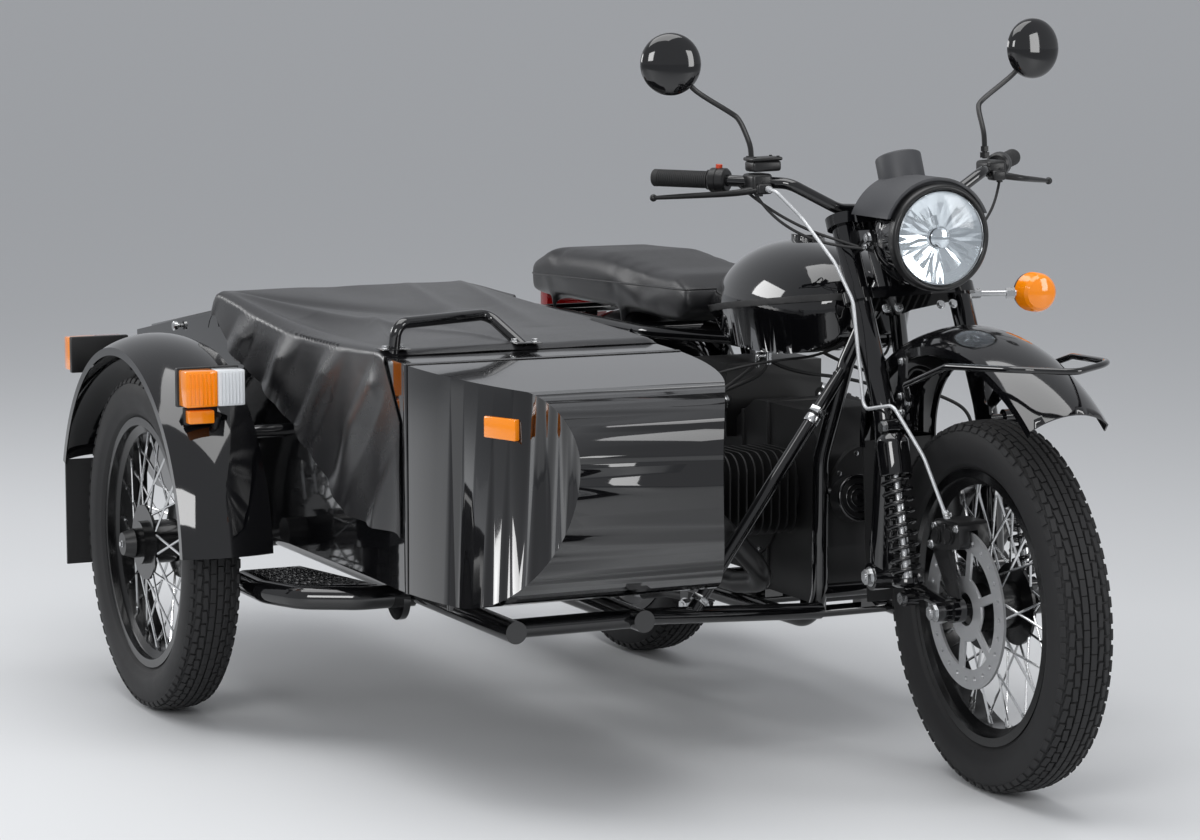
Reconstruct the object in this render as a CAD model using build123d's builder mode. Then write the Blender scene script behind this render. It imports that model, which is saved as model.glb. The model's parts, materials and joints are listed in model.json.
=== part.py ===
# Sidecar motorcycle: a flat-twin machine with a single-seat sidecar fixed on its right.
# Sizes are in millimetres. X runs forward, Y to the left, Z up. Shapes are worked out in the
# motorcycle's own layout, whose zero is the ground under the rear axle on its centre plane,
# and each finished piece is then set round the middle of the whole machine's footprint.

import os
from math import cos, radians, sin, sqrt, tan

from build123d import *

os.makedirs("parts", exist_ok=True)

# Driving dimensions: wheels and layout
WHEELBASE = 1500.0
TRACK = 1155.0
SIDECAR_WHEEL_LEAD = 142.0
TYRE_RADIUS = 343.0
TYRE_HALF_WIDTH = 56.0
RIM_FLANGE_RADIUS = 255.0
RIM_SEAT_RADIUS = 243.0
RIM_HALF_WIDTH = 40.0
RIM_WALL = 4.0
SPOKES_PER_SIDE = 20
SPOKE_DIAMETER = 5.0
HUB_RADIUS = 44.0
HUB_HALF_LENGTH = 62.0
HUB_FLANGE_RADIUS = 76.0
AXLE_DIAMETER = 25.0
DISC_DIAMETER = 295.0
DISC_THICKNESS = 5.0

# Driving dimensions: steering
RAKE = 26.0
STEER_X = 1060.0
STEER_Z = 969.0
STEER_PARKED = -4.0
LEG_HALF_SPREAD = 105.0
LEG_DIAMETER = 44.0
LEG_LEAD = 57.0

# Driving dimensions: frame and sidecar
SEAT_GAP = 0.3
FRAME_TUBE = 32.0
SIDECAR_CENTRE_Y = -703.0
SIDECAR_HALF_WIDTH = 277.0
SIDECAR_REAR_X = -600.0
SIDECAR_NOSE_X = 1480.0
SIDECAR_WALL = 4.0
SIDECAR_FLOOR_Z = 365.0

REAR_AXLE = Vector(0, 0, TYRE_RADIUS)
FRONT_AXLE = Vector(WHEELBASE, 0, TYRE_RADIUS)
SIDECAR_AXLE = Vector(SIDECAR_WHEEL_LEAD, -TRACK, TYRE_RADIUS)

# The machine's footprint, whose middle is the part's zero
FENDER_OUTER_Y = 1246.0
MIRROR_OUTER_Y = 443.0
FOOTPRINT_MIDDLE = Vector(
    (SIDECAR_REAR_X + WHEELBASE + TYRE_RADIUS) / 2,
    (MIRROR_OUTER_Y - FENDER_OUTER_Y) / 2,
    0,
)

# Steering axis, leaning back by the rake
STEER_AXIS = Axis((STEER_X, 0, STEER_Z), (-sin(radians(RAKE)), 0, cos(radians(RAKE))))
LEG_SLOPE = tan(radians(RAKE))


def steer_x(z):
    """X of the steering axis at a height."""
    return STEER_X + (STEER_Z - z) * LEG_SLOPE


def leg_x(z):
    """X of the straight upper fork tubes at a height."""
    return steer_x(z) + LEG_LEAD / cos(radians(RAKE))


def finish(piece, label, steered=False):
    """Set a finished piece in the part's frame, label it and write its file."""
    placed = piece.part.rotate(STEER_AXIS, STEER_PARKED) if steered else piece.part
    placed = placed.moved(Location(-FOOTPRINT_MIDDLE))
    placed.label = label
    export_step(placed, f"parts/{label}.step")


def tube(points, diameter, bend=40.0, mode=Mode.ADD):
    """A bent round tube through points, in the part being made."""
    points = [Vector(*p) for p in points]
    with BuildLine() as route:
        if len(points) == 2:
            Line(*points)
        else:
            FilletPolyline(*points, radius=bend)
    with BuildSketch(Plane(origin=route.line @ 0, z_dir=route.line % 0)) as section:
        Circle(diameter / 2)
    sweep(sections=section.sketch, path=route.line, mode=mode)


def rod(start, end, diameter, end_diameter=None, mode=Mode.ADD):
    """A straight round rod or taper between two points, in the part being made."""
    start, end = Vector(*start), Vector(*end)
    along = end - start
    with BuildSketch(Plane(origin=start, z_dir=along)) as section:
        Circle(diameter / 2)
    if end_diameter is None:
        extrude(section.sketch, amount=along.length, mode=mode)
    else:
        with BuildSketch(Plane(origin=end, z_dir=along)) as tip:
            Circle(end_diameter / 2)
        loft([section.sketch.face(), tip.sketch.face()], mode=mode)


def plate(outline, y, thickness, mode=Mode.ADD):
    """A flat plate with its outline in X and Z, centred at y, in the part being made."""
    with BuildSketch(Plane.XZ.offset(-y)) as section:
        with BuildLine():
            Polyline(*outline, close=True)
        make_face()
    extrude(section.sketch, amount=thickness / 2, both=True, mode=mode)


# Wire wheel, made once round its own centre with its axle along Y
def polar(radius, angle, y=0.0):
    """A point on a wheel, from its radius, its angle in degrees and its place along the axle."""
    return (radius * cos(radians(angle)), y, radius * sin(radians(angle)))


RIM_WELL_RADIUS = 228.0
RIM_WELL_HALF = 16.0
SPOKE_FLANGE_Y = 36.0
SPOKE_SWEEP = 26.0
HUB_SHOULDER_Y = 50.0
HUB_NOSE_RADIUS = 30.0
with BuildPart() as wire_wheel:
    with BuildSketch(Plane.XY):
        with BuildLine():
            Polyline(
                (RIM_FLANGE_RADIUS, -RIM_HALF_WIDTH),
                (RIM_FLANGE_RADIUS, -RIM_HALF_WIDTH + RIM_WALL),
                (RIM_SEAT_RADIUS, -RIM_HALF_WIDTH + RIM_WALL),
                (RIM_SEAT_RADIUS, -RIM_WELL_HALF - 8),
                (RIM_WELL_RADIUS, -RIM_WELL_HALF),
                (RIM_WELL_RADIUS, RIM_WELL_HALF),
                (RIM_SEAT_RADIUS, RIM_WELL_HALF + 8),
                (RIM_SEAT_RADIUS, RIM_HALF_WIDTH - RIM_WALL),
                (RIM_FLANGE_RADIUS, RIM_HALF_WIDTH - RIM_WALL),
                (RIM_FLANGE_RADIUS, RIM_HALF_WIDTH),
                (RIM_SEAT_RADIUS - RIM_WALL, RIM_HALF_WIDTH),
                (RIM_SEAT_RADIUS - RIM_WALL, RIM_WELL_HALF + 10),
                (RIM_WELL_RADIUS - RIM_WALL, RIM_WELL_HALF + 2),
                (RIM_WELL_RADIUS - RIM_WALL, -RIM_WELL_HALF - 2),
                (RIM_SEAT_RADIUS - RIM_WALL, -RIM_WELL_HALF - 10),
                (RIM_SEAT_RADIUS - RIM_WALL, -RIM_HALF_WIDTH),
                close=True,
            )
        make_face()
    with BuildSketch(Plane.XY):
        with BuildLine():
            Polyline(
                (AXLE_DIAMETER / 2 + 0.05, -HUB_HALF_LENGTH),
                (HUB_NOSE_RADIUS, -HUB_HALF_LENGTH),
                (HUB_NOSE_RADIUS, -HUB_SHOULDER_Y),
                (HUB_RADIUS, -HUB_SHOULDER_Y),
                (HUB_RADIUS, -SPOKE_FLANGE_Y - 3),
                (HUB_FLANGE_RADIUS, -SPOKE_FLANGE_Y - 3),
                (HUB_FLANGE_RADIUS, -SPOKE_FLANGE_Y + 3),
                (HUB_RADIUS, -SPOKE_FLANGE_Y + 8),
                (HUB_RADIUS, SPOKE_FLANGE_Y - 8),
                (HUB_FLANGE_RADIUS, SPOKE_FLANGE_Y - 3),
                (HUB_FLANGE_RADIUS, SPOKE_FLANGE_Y + 3),
                (HUB_RADIUS, SPOKE_FLANGE_Y + 3),
                (HUB_RADIUS, HUB_SHOULDER_Y),
                (HUB_NOSE_RADIUS, HUB_SHOULDER_Y),
                (HUB_NOSE_RADIUS, HUB_HALF_LENGTH),
                (AXLE_DIAMETER / 2 + 0.05, HUB_HALF_LENGTH),
                close=True,
            )
        make_face()
    revolve(axis=Axis.Y)
    for side in (-1, 1):
        for index in range(SPOKES_PER_SIDE):
            angle = 360 / SPOKES_PER_SIDE * index + side * 90 / SPOKES_PER_SIDE
            lean = SPOKE_SWEEP if index % 2 else -SPOKE_SWEEP
            start = polar(HUB_FLANGE_RADIUS - 5, angle - lean, side * SPOKE_FLANGE_Y)
            end = polar(RIM_WELL_RADIUS - RIM_WALL / 2, angle, side * 7)
            along = Vector(*end) - Vector(*start)
            with BuildSketch(Plane(origin=start, z_dir=along)) as section:
                RegularPolygon(SPOKE_DIAMETER / 2, 6)
            extrude(section.sketch, amount=along.length)

# Tyre, seated on the rim
TREAD_SHOULDER_Y = 46.0
with BuildPart() as tyre:
    with BuildSketch(Plane.XY):
        with BuildLine():
            bead = (RIM_SEAT_RADIUS, RIM_HALF_WIDTH - RIM_WALL - 1)
            lip = (RIM_FLANGE_RADIUS + 2, RIM_HALF_WIDTH - RIM_WALL - 0.5)
            bulge = (298, TYRE_HALF_WIDTH)
            shoulder = (TYRE_RADIUS - 13, TREAD_SHOULDER_Y)
            Line(bead, lip)
            ThreePointArc(lip, bulge, shoulder)
            ThreePointArc(shoulder, (TYRE_RADIUS, 0), (shoulder[0], -shoulder[1]))
            ThreePointArc((shoulder[0], -shoulder[1]), (bulge[0], -bulge[1]), (lip[0], -lip[1]))
            Line((lip[0], -lip[1]), (bead[0], -bead[1]))
            Line((bead[0], -bead[1]), bead)
        make_face()
    revolve(axis=Axis.Y)

# The three wheels: name, axle and whether it steers
WHEELS = (
    ("front", FRONT_AXLE, True),
    ("rear", REAR_AXLE, False),
    ("sidecar", SIDECAR_AXLE, False),
)
for name, axle, steered in WHEELS:
    with BuildPart() as wheel_rim:
        with Locations(axle):
            add(wire_wheel.part)
    finish(wheel_rim, f"{name}_wheel", steered)
    with BuildPart() as wheel_tyre:
        with Locations(axle):
            add(tyre.part)
    finish(wheel_tyre, f"{name}_tyre", steered)

# Brake disc on the front wheel's right side
DISC_Y = -64.0
with BuildPart() as front_disc:
    with BuildSketch(Plane.XZ.offset(-DISC_Y)):
        with Locations((WHEELBASE, TYRE_RADIUS)):
            Circle(DISC_DIAMETER / 2)
            Circle(DISC_DIAMETER / 2 - 36, mode=Mode.SUBTRACT)
            with PolarLocations(DISC_DIAMETER / 2 - 18, 24):
                Circle(5, mode=Mode.SUBTRACT)
            Circle(60)
            Circle(HUB_NOSE_RADIUS + 1, mode=Mode.SUBTRACT)
            with PolarLocations(86, 6, start_angle=20):
                SlotCenterToCenter(60, 16)
    extrude(amount=DISC_THICKNESS / 2, both=True)
    with BuildSketch(Plane.XZ.offset(-DISC_Y - DISC_THICKNESS / 2)):
        with Locations((WHEELBASE, TYRE_RADIUS)):
            Circle(HUB_RADIUS - 1)
            Circle(HUB_NOSE_RADIUS + 1, mode=Mode.SUBTRACT)
    extrude(amount=DISC_Y + DISC_THICKNESS / 2 + HUB_SHOULDER_Y)
finish(front_disc, "front_brake_disc", True)

# Steering group: fork legs, clamps and the link behind the wheel
LEG_TOP_Z = 1030.0
LEG_BEND_Z = 660.0
LINK_PIVOT = (1264.0, LEG_HALF_SPREAD, 372.0)
LINK_END_Y = 84.0
LEG_FOOT_Y = 119.0
LINK_TUBE = 24.0
LINK_EYE = 46.0
LOOP_X = 1132.0
LOOP_Z = 420.0
STEM_DIAMETER = 30.0
CLAMP_THICKNESS = 22.0
UPPER_CLAMP_Z = 1000.0
LOWER_CLAMP_Z = 862.0
HEAD_TUBE_TOP_Z = 988.0
HEAD_TUBE_BOTTOM_Z = 874.0
HEAD_TUBE_DIAMETER = 64.0
SHOCK_TOP = (1325.0, 124.0, 662.0)
SHOCK_FOOT = (1392.0, 124.0, 352.0)
SHOCK_EYE_HALF = 13.0
BRACKET_Y = 86.0
FRONT_FENDER_HALF_WIDTH = 78.0
LIGHT_BOLT_HALF = LEG_HALF_SPREAD - 8


def across_steering(z, thickness):
    """A plane across the steering axis at a height, its X forward."""
    return Plane(
        origin=(steer_x(z), 0, z),
        x_dir=(cos(radians(RAKE)), 0, sin(radians(RAKE))),
        z_dir=STEER_AXIS.direction,
    ).offset(-thickness / 2)


with BuildPart() as fork_legs:
    for side in (-1, 1):
        y = side * LEG_HALF_SPREAD
        tube(
            [
                (leg_x(LEG_TOP_Z), y, LEG_TOP_Z),
                (leg_x(LEG_BEND_Z), y, LEG_BEND_Z),
                (LINK_PIVOT[0], side * LEG_FOOT_Y, LINK_PIVOT[2]),
            ],
            LEG_DIAMETER,
            bend=160,
        )
        rod(
            (LINK_PIVOT[0], side * (LEG_FOOT_Y - LEG_DIAMETER / 2), LINK_PIVOT[2]),
            (LINK_PIVOT[0], side * (LEG_FOOT_Y + LEG_DIAMETER / 2), LINK_PIVOT[2]),
            LINK_EYE + 6,
        )
        rod(
            (SHOCK_TOP[0], side * (BRACKET_Y - 3), SHOCK_TOP[2]),
            (SHOCK_TOP[0], side * (SHOCK_TOP[1] - SHOCK_EYE_HALF), SHOCK_TOP[2]),
            14,
        )
        plate(
            [
                (leg_x(690) + 8, 700),
                (leg_x(690) + 62, 684),
                (leg_x(690) + 66, 650),
                (leg_x(650) + 8, 636),
            ],
            side * BRACKET_Y,
            6,
        )
        plate(
            [(1268, 690), (1304, 690), (1312, 796), (1284, 800)],
            side * (FRONT_FENDER_HALF_WIDTH + SEAT_GAP + 2.5),
            5,
        )
        plate(
            [(1104, 1008), (1124, 960), (1206, 988), (1214, 1003), (1206, 1018)],
            side * (LIGHT_BOLT_HALF + SEAT_GAP + 2.5),
            5,
        )
    for z, thickness in ((UPPER_CLAMP_Z, CLAMP_THICKNESS), (LOWER_CLAMP_Z, CLAMP_THICKNESS)):
        with BuildSketch(across_steering(z, thickness)) as clamp:
            Circle(30)
            with BuildLine():
                Polyline(
                    (-6, -28),
                    (LEG_LEAD - 26, -LEG_HALF_SPREAD),
                    (LEG_LEAD + 24, -LEG_HALF_SPREAD),
                    (LEG_LEAD + 24, LEG_HALF_SPREAD),
                    (LEG_LEAD - 26, LEG_HALF_SPREAD),
                    (-6, 28),
                    close=True,
                )
            make_face()
            with Locations((LEG_LEAD, LEG_HALF_SPREAD), (LEG_LEAD, -LEG_HALF_SPREAD)):
                Circle(LEG_DIAMETER / 2 + 9)
        extrude(clamp.sketch, amount=thickness)
    rod(
        (steer_x(UPPER_CLAMP_Z), 0, UPPER_CLAMP_Z),
        (steer_x(LOWER_CLAMP_Z), 0, LOWER_CLAMP_Z),
        STEM_DIAMETER,
    )
finish(fork_legs, "fork_legs", True)

# Leading link: one looped tube from axle to axle behind the tyre
LINK_ARM_Z = (LINK_PIVOT[2] + TYRE_RADIUS) / 2
with BuildPart() as leading_link:
    tube(
        [
            (WHEELBASE - 14, -LINK_END_Y, TYRE_RADIUS),
            (LINK_PIVOT[0] + 60, -LINK_END_Y, LINK_ARM_Z),
            (LOOP_X, -LINK_END_Y + 4, LOOP_Z),
            (LOOP_X, LINK_END_Y - 4, LOOP_Z),
            (LINK_PIVOT[0] + 60, LINK_END_Y, LINK_ARM_Z),
            (WHEELBASE - 14, LINK_END_Y, TYRE_RADIUS),
        ],
        LINK_TUBE,
        bend=[60, 46, 46, 60],
    )
    for side in (-1, 1):
        inner = side * (LINK_END_Y - LINK_TUBE / 2 + 2)
        outer = side * (LINK_END_Y + LINK_TUBE / 2 + 2)
        rod((WHEELBASE, inner, TYRE_RADIUS), (WHEELBASE, outer, TYRE_RADIUS), LINK_EYE)
        rod(
            (WHEELBASE, outer, TYRE_RADIUS),
            (WHEELBASE, outer + side * 30, TYRE_RADIUS),
            36,
        )
        rod(
            (LINK_PIVOT[0], side * LINK_END_Y, LINK_PIVOT[2]),
            (LINK_PIVOT[0], side * (LEG_FOOT_Y - LEG_DIAMETER / 2), LINK_PIVOT[2]),
            44,
        )
        rod(
            (SHOCK_FOOT[0], side * LINK_END_Y, SHOCK_FOOT[2]),
            (SHOCK_FOOT[0], side * (SHOCK_FOOT[1] - SHOCK_EYE_HALF), SHOCK_FOOT[2]),
            14,
        )
    rod(
        (WHEELBASE, -LINK_END_Y, TYRE_RADIUS),
        (WHEELBASE, LINK_END_Y, TYRE_RADIUS),
        AXLE_DIAMETER,
    )
    add(fork_legs.part, mode=Mode.SUBTRACT)
finish(leading_link, "leading_link", True)

# Front shocks: cover over a coil spring, an eye at each end
SPRING_DIAMETER = 58.0
SPRING_WIRE = 8.0


def shock(top, foot, side, cover, turns):
    """A spring and damper unit between two eyes, in the part being made."""
    top = Vector(top[0], side * top[1], top[2])
    foot = Vector(foot[0], side * foot[1], foot[2])
    along = (foot - top).normalized()
    length = (foot - top).length
    for eye in (top, foot):
        rod(eye - Vector(0, SHOCK_EYE_HALF, 0), eye + Vector(0, SHOCK_EYE_HALF, 0), 30)
    rod(top, foot, 22)
    rod(top + along * 22, top + along * (22 + cover), SPRING_DIAMETER + 4)
    rod(foot - along * 34, foot - along * 22, SPRING_DIAMETER + 2)
    spring_length = length - 56 - cover
    pitch = spring_length / turns
    for turn in range(turns):
        centre = top + along * (22 + cover + pitch * (turn + 0.5))
        with BuildSketch(Plane(origin=centre, z_dir=along)) as coil:
            Circle(SPRING_DIAMETER / 2)
        extrude(coil.sketch, amount=SPRING_WIRE / 2, both=True)


with BuildPart() as front_shocks:
    for side in (-1, 1):
        shock(SHOCK_TOP, SHOCK_FOOT, side, 66, 7)
finish(front_shocks, "front_shocks", True)

# Brake caliper on the right side, carried by the link
with BuildPart() as caliper:
    with BuildSketch(Plane.XZ.offset(-DISC_Y)) as section:
        with BuildLine():
            Polyline(
                (WHEELBASE - 92, TYRE_RADIUS + 98),
                (WHEELBASE - 60, TYRE_RADIUS + 162),
                (WHEELBASE + 30, TYRE_RADIUS + 166),
                (WHEELBASE + 38, TYRE_RADIUS + 118),
                (WHEELBASE - 30, TYRE_RADIUS + 108),
                close=True,
            )
        make_face()
        fillet(section.vertices(), 9)
    extrude(section.sketch, amount=30, both=True)
    with BuildSketch(Plane.XZ.offset(-DISC_Y)) as slot:
        with Locations((WHEELBASE, TYRE_RADIUS)):
            Circle(DISC_DIAMETER / 2 + 6)
    extrude(slot.sketch, amount=DISC_THICKNESS / 2 + 6, both=True, mode=Mode.SUBTRACT)
    plate(
        [
            (WHEELBASE - 24, TYRE_RADIUS + LINK_EYE / 2 + 0.3),
            (WHEELBASE - 84, TYRE_RADIUS + 104),
            (WHEELBASE - 30, TYRE_RADIUS + 122),
            (WHEELBASE + 14, TYRE_RADIUS + LINK_EYE / 2 + 0.3),
        ],
        DISC_Y - 20,
        9,
    )
finish(caliper, "brake_caliper", True)

# Front fender: a long arc over the wheel, then a steep drop behind it
FRONT_FENDER_ARC = 570.0
FRONT_FENDER_X = 1442.0
FRONT_FENDER_Z = 282.0
FENDER_SHEET = 3.0
FENDER_CROWN = 34.0
FENDER_LIP = 16.0


def fender_arc(centre, radius, start, sweep_angle, half_width, crown):
    """A crowned fender with turned-in edges, from its start angle backwards round a centre."""
    outward = Vector(cos(radians(start)), 0, sin(radians(start)))
    origin = Vector(*centre) + outward * radius
    plane = Plane(origin=origin, x_dir=outward, z_dir=outward.cross(Vector(0, 1, 0)))
    edge = -crown - FENDER_LIP
    with BuildSketch(plane) as section:
        with BuildLine():
            ThreePointArc((-crown, -half_width), (0, 0), (-crown, half_width))
            Polyline(
                (-crown, half_width),
                (edge, half_width),
                (edge, half_width - FENDER_SHEET),
                (-crown - 1, half_width - FENDER_SHEET),
            )
            ThreePointArc(
                (-crown - 1, half_width - FENDER_SHEET),
                (-FENDER_SHEET, 0),
                (-crown - 1, FENDER_SHEET - half_width),
            )
            Polyline(
                (-crown - 1, FENDER_SHEET - half_width),
                (edge, FENDER_SHEET - half_width),
                (edge, -half_width),
                (-crown, -half_width),
            )
        make_face()
    revolve(section.sketch, axis=Axis(centre, (0, -1, 0)), revolution_arc=sweep_angle)


FRONT_FENDER_START = 52.0
FRONT_FENDER_SWEEP = 66.0
FENDER_DROP_ARC = 205.0
FENDER_DROP_SWEEP = 66.0
drop_angle = FRONT_FENDER_START + FRONT_FENDER_SWEEP
drop_centre = (
    FRONT_FENDER_X + (FRONT_FENDER_ARC - FENDER_DROP_ARC) * cos(radians(drop_angle)),
    0,
    FRONT_FENDER_Z + (FRONT_FENDER_ARC - FENDER_DROP_ARC) * sin(radians(drop_angle)),
)
with BuildPart() as front_fender:
    fender_arc(
        (FRONT_FENDER_X, 0, FRONT_FENDER_Z),
        FRONT_FENDER_ARC,
        FRONT_FENDER_START,
        FRONT_FENDER_SWEEP,
        FRONT_FENDER_HALF_WIDTH,
        FENDER_CROWN,
    )
    fender_arc(
        drop_centre,
        FENDER_DROP_ARC,
        drop_angle,
        FENDER_DROP_SWEEP,
        FRONT_FENDER_HALF_WIDTH,
        FENDER_CROWN,
    )
finish(front_fender, "front_fender", True)

# Fender stays and the guard tube round the fender
STAY_DIAMETER = 12.0
with BuildPart() as fender_guard:
    tube(
        [
            (1345, -BRACKET_Y - 10, 714),
            (1375, -118, 745),
            (1560, -128, 800),
            (1760, -92, 812),
            (1800, 0, 806),
            (1760, 92, 812),
            (1560, 128, 800),
            (1375, 118, 745),
            (1345, BRACKET_Y + 10, 714),
        ],
        STAY_DIAMETER,
        bend=[20, 60, 70, 40, 70, 60, 20],
    )
    for side in (-1, 1):
        plate(
            [(1335, 722), (1355, 722), (1352, 700), (1300, 664), (1290, 676)],
            side * (BRACKET_Y + 5.8),
            5,
        )
finish(fender_guard, "fender_guard", True)

# Rubber flap behind the front wheel
FLAP_X = 1106.0
FLAP_TOP_HALF = FRONT_FENDER_HALF_WIDTH - FENDER_SHEET - SEAT_GAP
with BuildPart() as front_flap:
    with BuildSketch(Plane.YZ.offset(FLAP_X)):
        with BuildLine():
            Polyline(
                (-FLAP_TOP_HALF, 604),
                (-70, 290),
                (70, 290),
                (FLAP_TOP_HALF, 604),
                close=True,
            )
        make_face()
    extrude(amount=3, both=True)
finish(front_flap, "front_mud_flap", True)

# Headlight: deep shell, ring and domed lens
LIGHT_X = 1297.0
LIGHT_Z = 1003.0
LIGHT_RADIUS = 100.0
LENS_RADIUS = 90.0
LENS_DOME = 14.0
with BuildPart() as headlight:
    with BuildSketch(Plane.XZ):
        with BuildLine():
            front = (LIGHT_X - 8, LIGHT_Z + LIGHT_RADIUS)
            Line((LIGHT_X - 8, LIGHT_Z), front)
            Line(front, (LIGHT_X - 50, LIGHT_Z + LIGHT_RADIUS - 4))
            ThreePointArc(
                (LIGHT_X - 50, LIGHT_Z + LIGHT_RADIUS - 4),
                (LIGHT_X - 135, LIGHT_Z + 72),
                (LIGHT_X - 168, LIGHT_Z),
            )
            Line((LIGHT_X - 168, LIGHT_Z), (LIGHT_X - 8, LIGHT_Z))
        make_face()
    revolve(axis=Axis((0, 0, LIGHT_Z), (1, 0, 0)))
    with Locations((LIGHT_X - 90, 0, LIGHT_Z)):
        Cylinder(14, 2 * LIGHT_BOLT_HALF, rotation=(90, 0, 0))
finish(headlight, "headlight_shell", True)

with BuildPart() as headlight_lens:
    with BuildSketch(Plane.XZ):
        with BuildLine():
            ball = (LENS_RADIUS**2 + LENS_DOME**2) / (2 * LENS_DOME)
            half_dome = sqrt(ball**2 - (LENS_RADIUS / 2) ** 2) - ball + LENS_DOME
            Line((LIGHT_X - 8, LIGHT_Z), (LIGHT_X - 8, LIGHT_Z + LENS_RADIUS))
            Line((LIGHT_X - 8, LIGHT_Z + LENS_RADIUS), (LIGHT_X, LIGHT_Z + LENS_RADIUS))
            ThreePointArc(
                (LIGHT_X, LIGHT_Z + LENS_RADIUS),
                (LIGHT_X + half_dome, LIGHT_Z + LENS_RADIUS / 2),
                (LIGHT_X + LENS_DOME, LIGHT_Z),
            )
            Line((LIGHT_X + LENS_DOME, LIGHT_Z), (LIGHT_X - 8, LIGHT_Z))
        make_face()
    revolve(axis=Axis((0, 0, LIGHT_Z), (1, 0, 0)))
finish(headlight_lens, "headlight_lens", True)

# Plastic cowl over the headlight and the speedometer pod behind it
POD_X = 1137.0
POD_Z = 1118.0
with BuildPart() as speedometer:
    with Locations(Location((POD_X, 0, POD_Z), (0, -22, 0))):
        Cylinder(44, 62)
finish(speedometer, "speedometer", True)

with BuildPart() as cowl:
    with BuildSketch(Plane.YZ.offset(LIGHT_X - 12)) as front_edge:
        with Locations((0, LIGHT_Z)):
            Circle(LIGHT_RADIUS + 12)
            Circle(LIGHT_RADIUS + 6, mode=Mode.SUBTRACT)
            with Locations((0, -60)):
                Rectangle(400, 200, mode=Mode.SUBTRACT)
    extrude(amount=-150)
    with BuildSketch(Plane.YZ.offset(LIGHT_X - 20)):
        with Locations((0, LIGHT_Z)):
            Circle(LIGHT_RADIUS + 8)
            Circle(LIGHT_RADIUS - 4, mode=Mode.SUBTRACT)
            with Locations((0, -60)):
                Rectangle(400, 200, mode=Mode.SUBTRACT)
    extrude(amount=-12)
    add(headlight.part, mode=Mode.SUBTRACT)
    add(speedometer.part, mode=Mode.SUBTRACT)
finish(cowl, "headlight_cowl", True)

# Handlebar with its grips
BAR_DIAMETER = 22.0
GRIP_DIAMETER = 34.0
GRIP_LENGTH = 120.0
BAR_END = Vector(862, 389, 1112)
BAR_ELBOW = Vector(975, 295, 1108)
grip_run = (BAR_END - BAR_ELBOW).normalized()
with BuildPart() as handlebar:
    tube(
        [
            (BAR_END.X, -BAR_END.Y, BAR_END.Z),
            (BAR_ELBOW.X, -BAR_ELBOW.Y, BAR_ELBOW.Z),
            (1077, -205, 1103),
            (1092, -110, 1050),
            (1060, 0, 1040),
            (1092, 110, 1050),
            (1077, 205, 1103),
            tuple(BAR_ELBOW),
            tuple(BAR_END),
        ],
        BAR_DIAMETER,
        bend=[60, 40, 40, 60, 40, 40, 60],
    )
    for side in (-1, 1):
        rod((1060, side * 45, 1008), (1060, side * 45, 1046), 26)
    add(fork_legs.part, mode=Mode.SUBTRACT)
finish(handlebar, "handlebar", True)

with BuildPart() as grips:
    for side in (-1, 1):
        end = Vector(BAR_END.X, side * BAR_END.Y, BAR_END.Z)
        run = Vector(grip_run.X, side * grip_run.Y, grip_run.Z)
        with BuildSketch(Plane(origin=end + run * 3, z_dir=-run)) as section:
            Circle(GRIP_DIAMETER / 2)
        extrude(section.sketch, amount=GRIP_LENGTH)
        with BuildSketch(Plane(origin=end, z_dir=-run)) as bore:
            Circle(BAR_DIAMETER / 2)
        extrude(bore.sketch, amount=GRIP_LENGTH, mode=Mode.SUBTRACT)
finish(grips, "grips", True)

# Controls: brake master cylinder and clutch perch, each with its lever
PERCH_Y = 250.0
PERCH_TOP_Z = 1124.0
with BuildPart() as controls:
    for side, tip in ((-1, Vector(850, -389, 1072)), (1, Vector(1010, 389, 1073))):
        perch = Vector(1030, side * PERCH_Y, PERCH_TOP_Z - 18)
        with Locations(perch):
            Box(60, 46, 36)
        rod(perch + Vector(24, side * 8, -10), tip, 14, 9)
    with Locations((1036, -PERCH_Y + 10, PERCH_TOP_Z + 15)):
        Box(46, 60, 30)
    add(handlebar.part, mode=Mode.SUBTRACT)
finish(controls, "levers", True)

# Brake hose: from the master cylinder down beside the right leg, over it and to the caliper
HOSE_DIAMETER = 7.0
with BuildPart() as brake_hose:
    tube(
        [
            (1060, -246, 1095),
            (1094, -240, 1090),
            (1110, -196, 1040),
            (1182, -163, 958),
            (1215, -143, 888),
            (1243, -138, 686),
            (1352, -132, 706),
            (1420, -104, 615),
            (1462, -78, 498),
        ],
        HOSE_DIAMETER,
        bend=[14, 40, 60, 60, 18, 25, 80],
    )
    rod((1060, -246, 1095), (1074, -243.5, 1093), 12)
    rod((1462, -78, 498), (1456, -82, 520), 12)
    add(controls.part, mode=Mode.SUBTRACT)
    add(caliper.part, mode=Mode.SUBTRACT)
finish(brake_hose, "brake_hose", True)

# Round mirrors on bent stems
MIRROR_RADIUS = 60.0
with BuildPart() as mirrors:
    for side in (-1, 1):
        foot = (1006, side * PERCH_Y, PERCH_TOP_Z)
        knee = (965, side * 256, 1226)
        neck = (955, side * 335, 1276)
        back = Vector(962, side * 390, 1332)
        tube([foot, knee, neck, tuple(back)], 11, bend=[30, 30])
        facing = Vector(0.98, side * 0.12, 0.02).normalized()
        with BuildSketch(Plane(origin=back - facing * 14, z_dir=facing)) as rim:
            Circle(MIRROR_RADIUS)
        with BuildSketch(Plane(origin=back + facing * 14, z_dir=facing)) as crown:
            Circle(MIRROR_RADIUS * 0.62)
        loft([rim.sketch.face(), crown.sketch.face()])
    add(controls.part, mode=Mode.SUBTRACT)
finish(mirrors, "mirrors", True)

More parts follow.
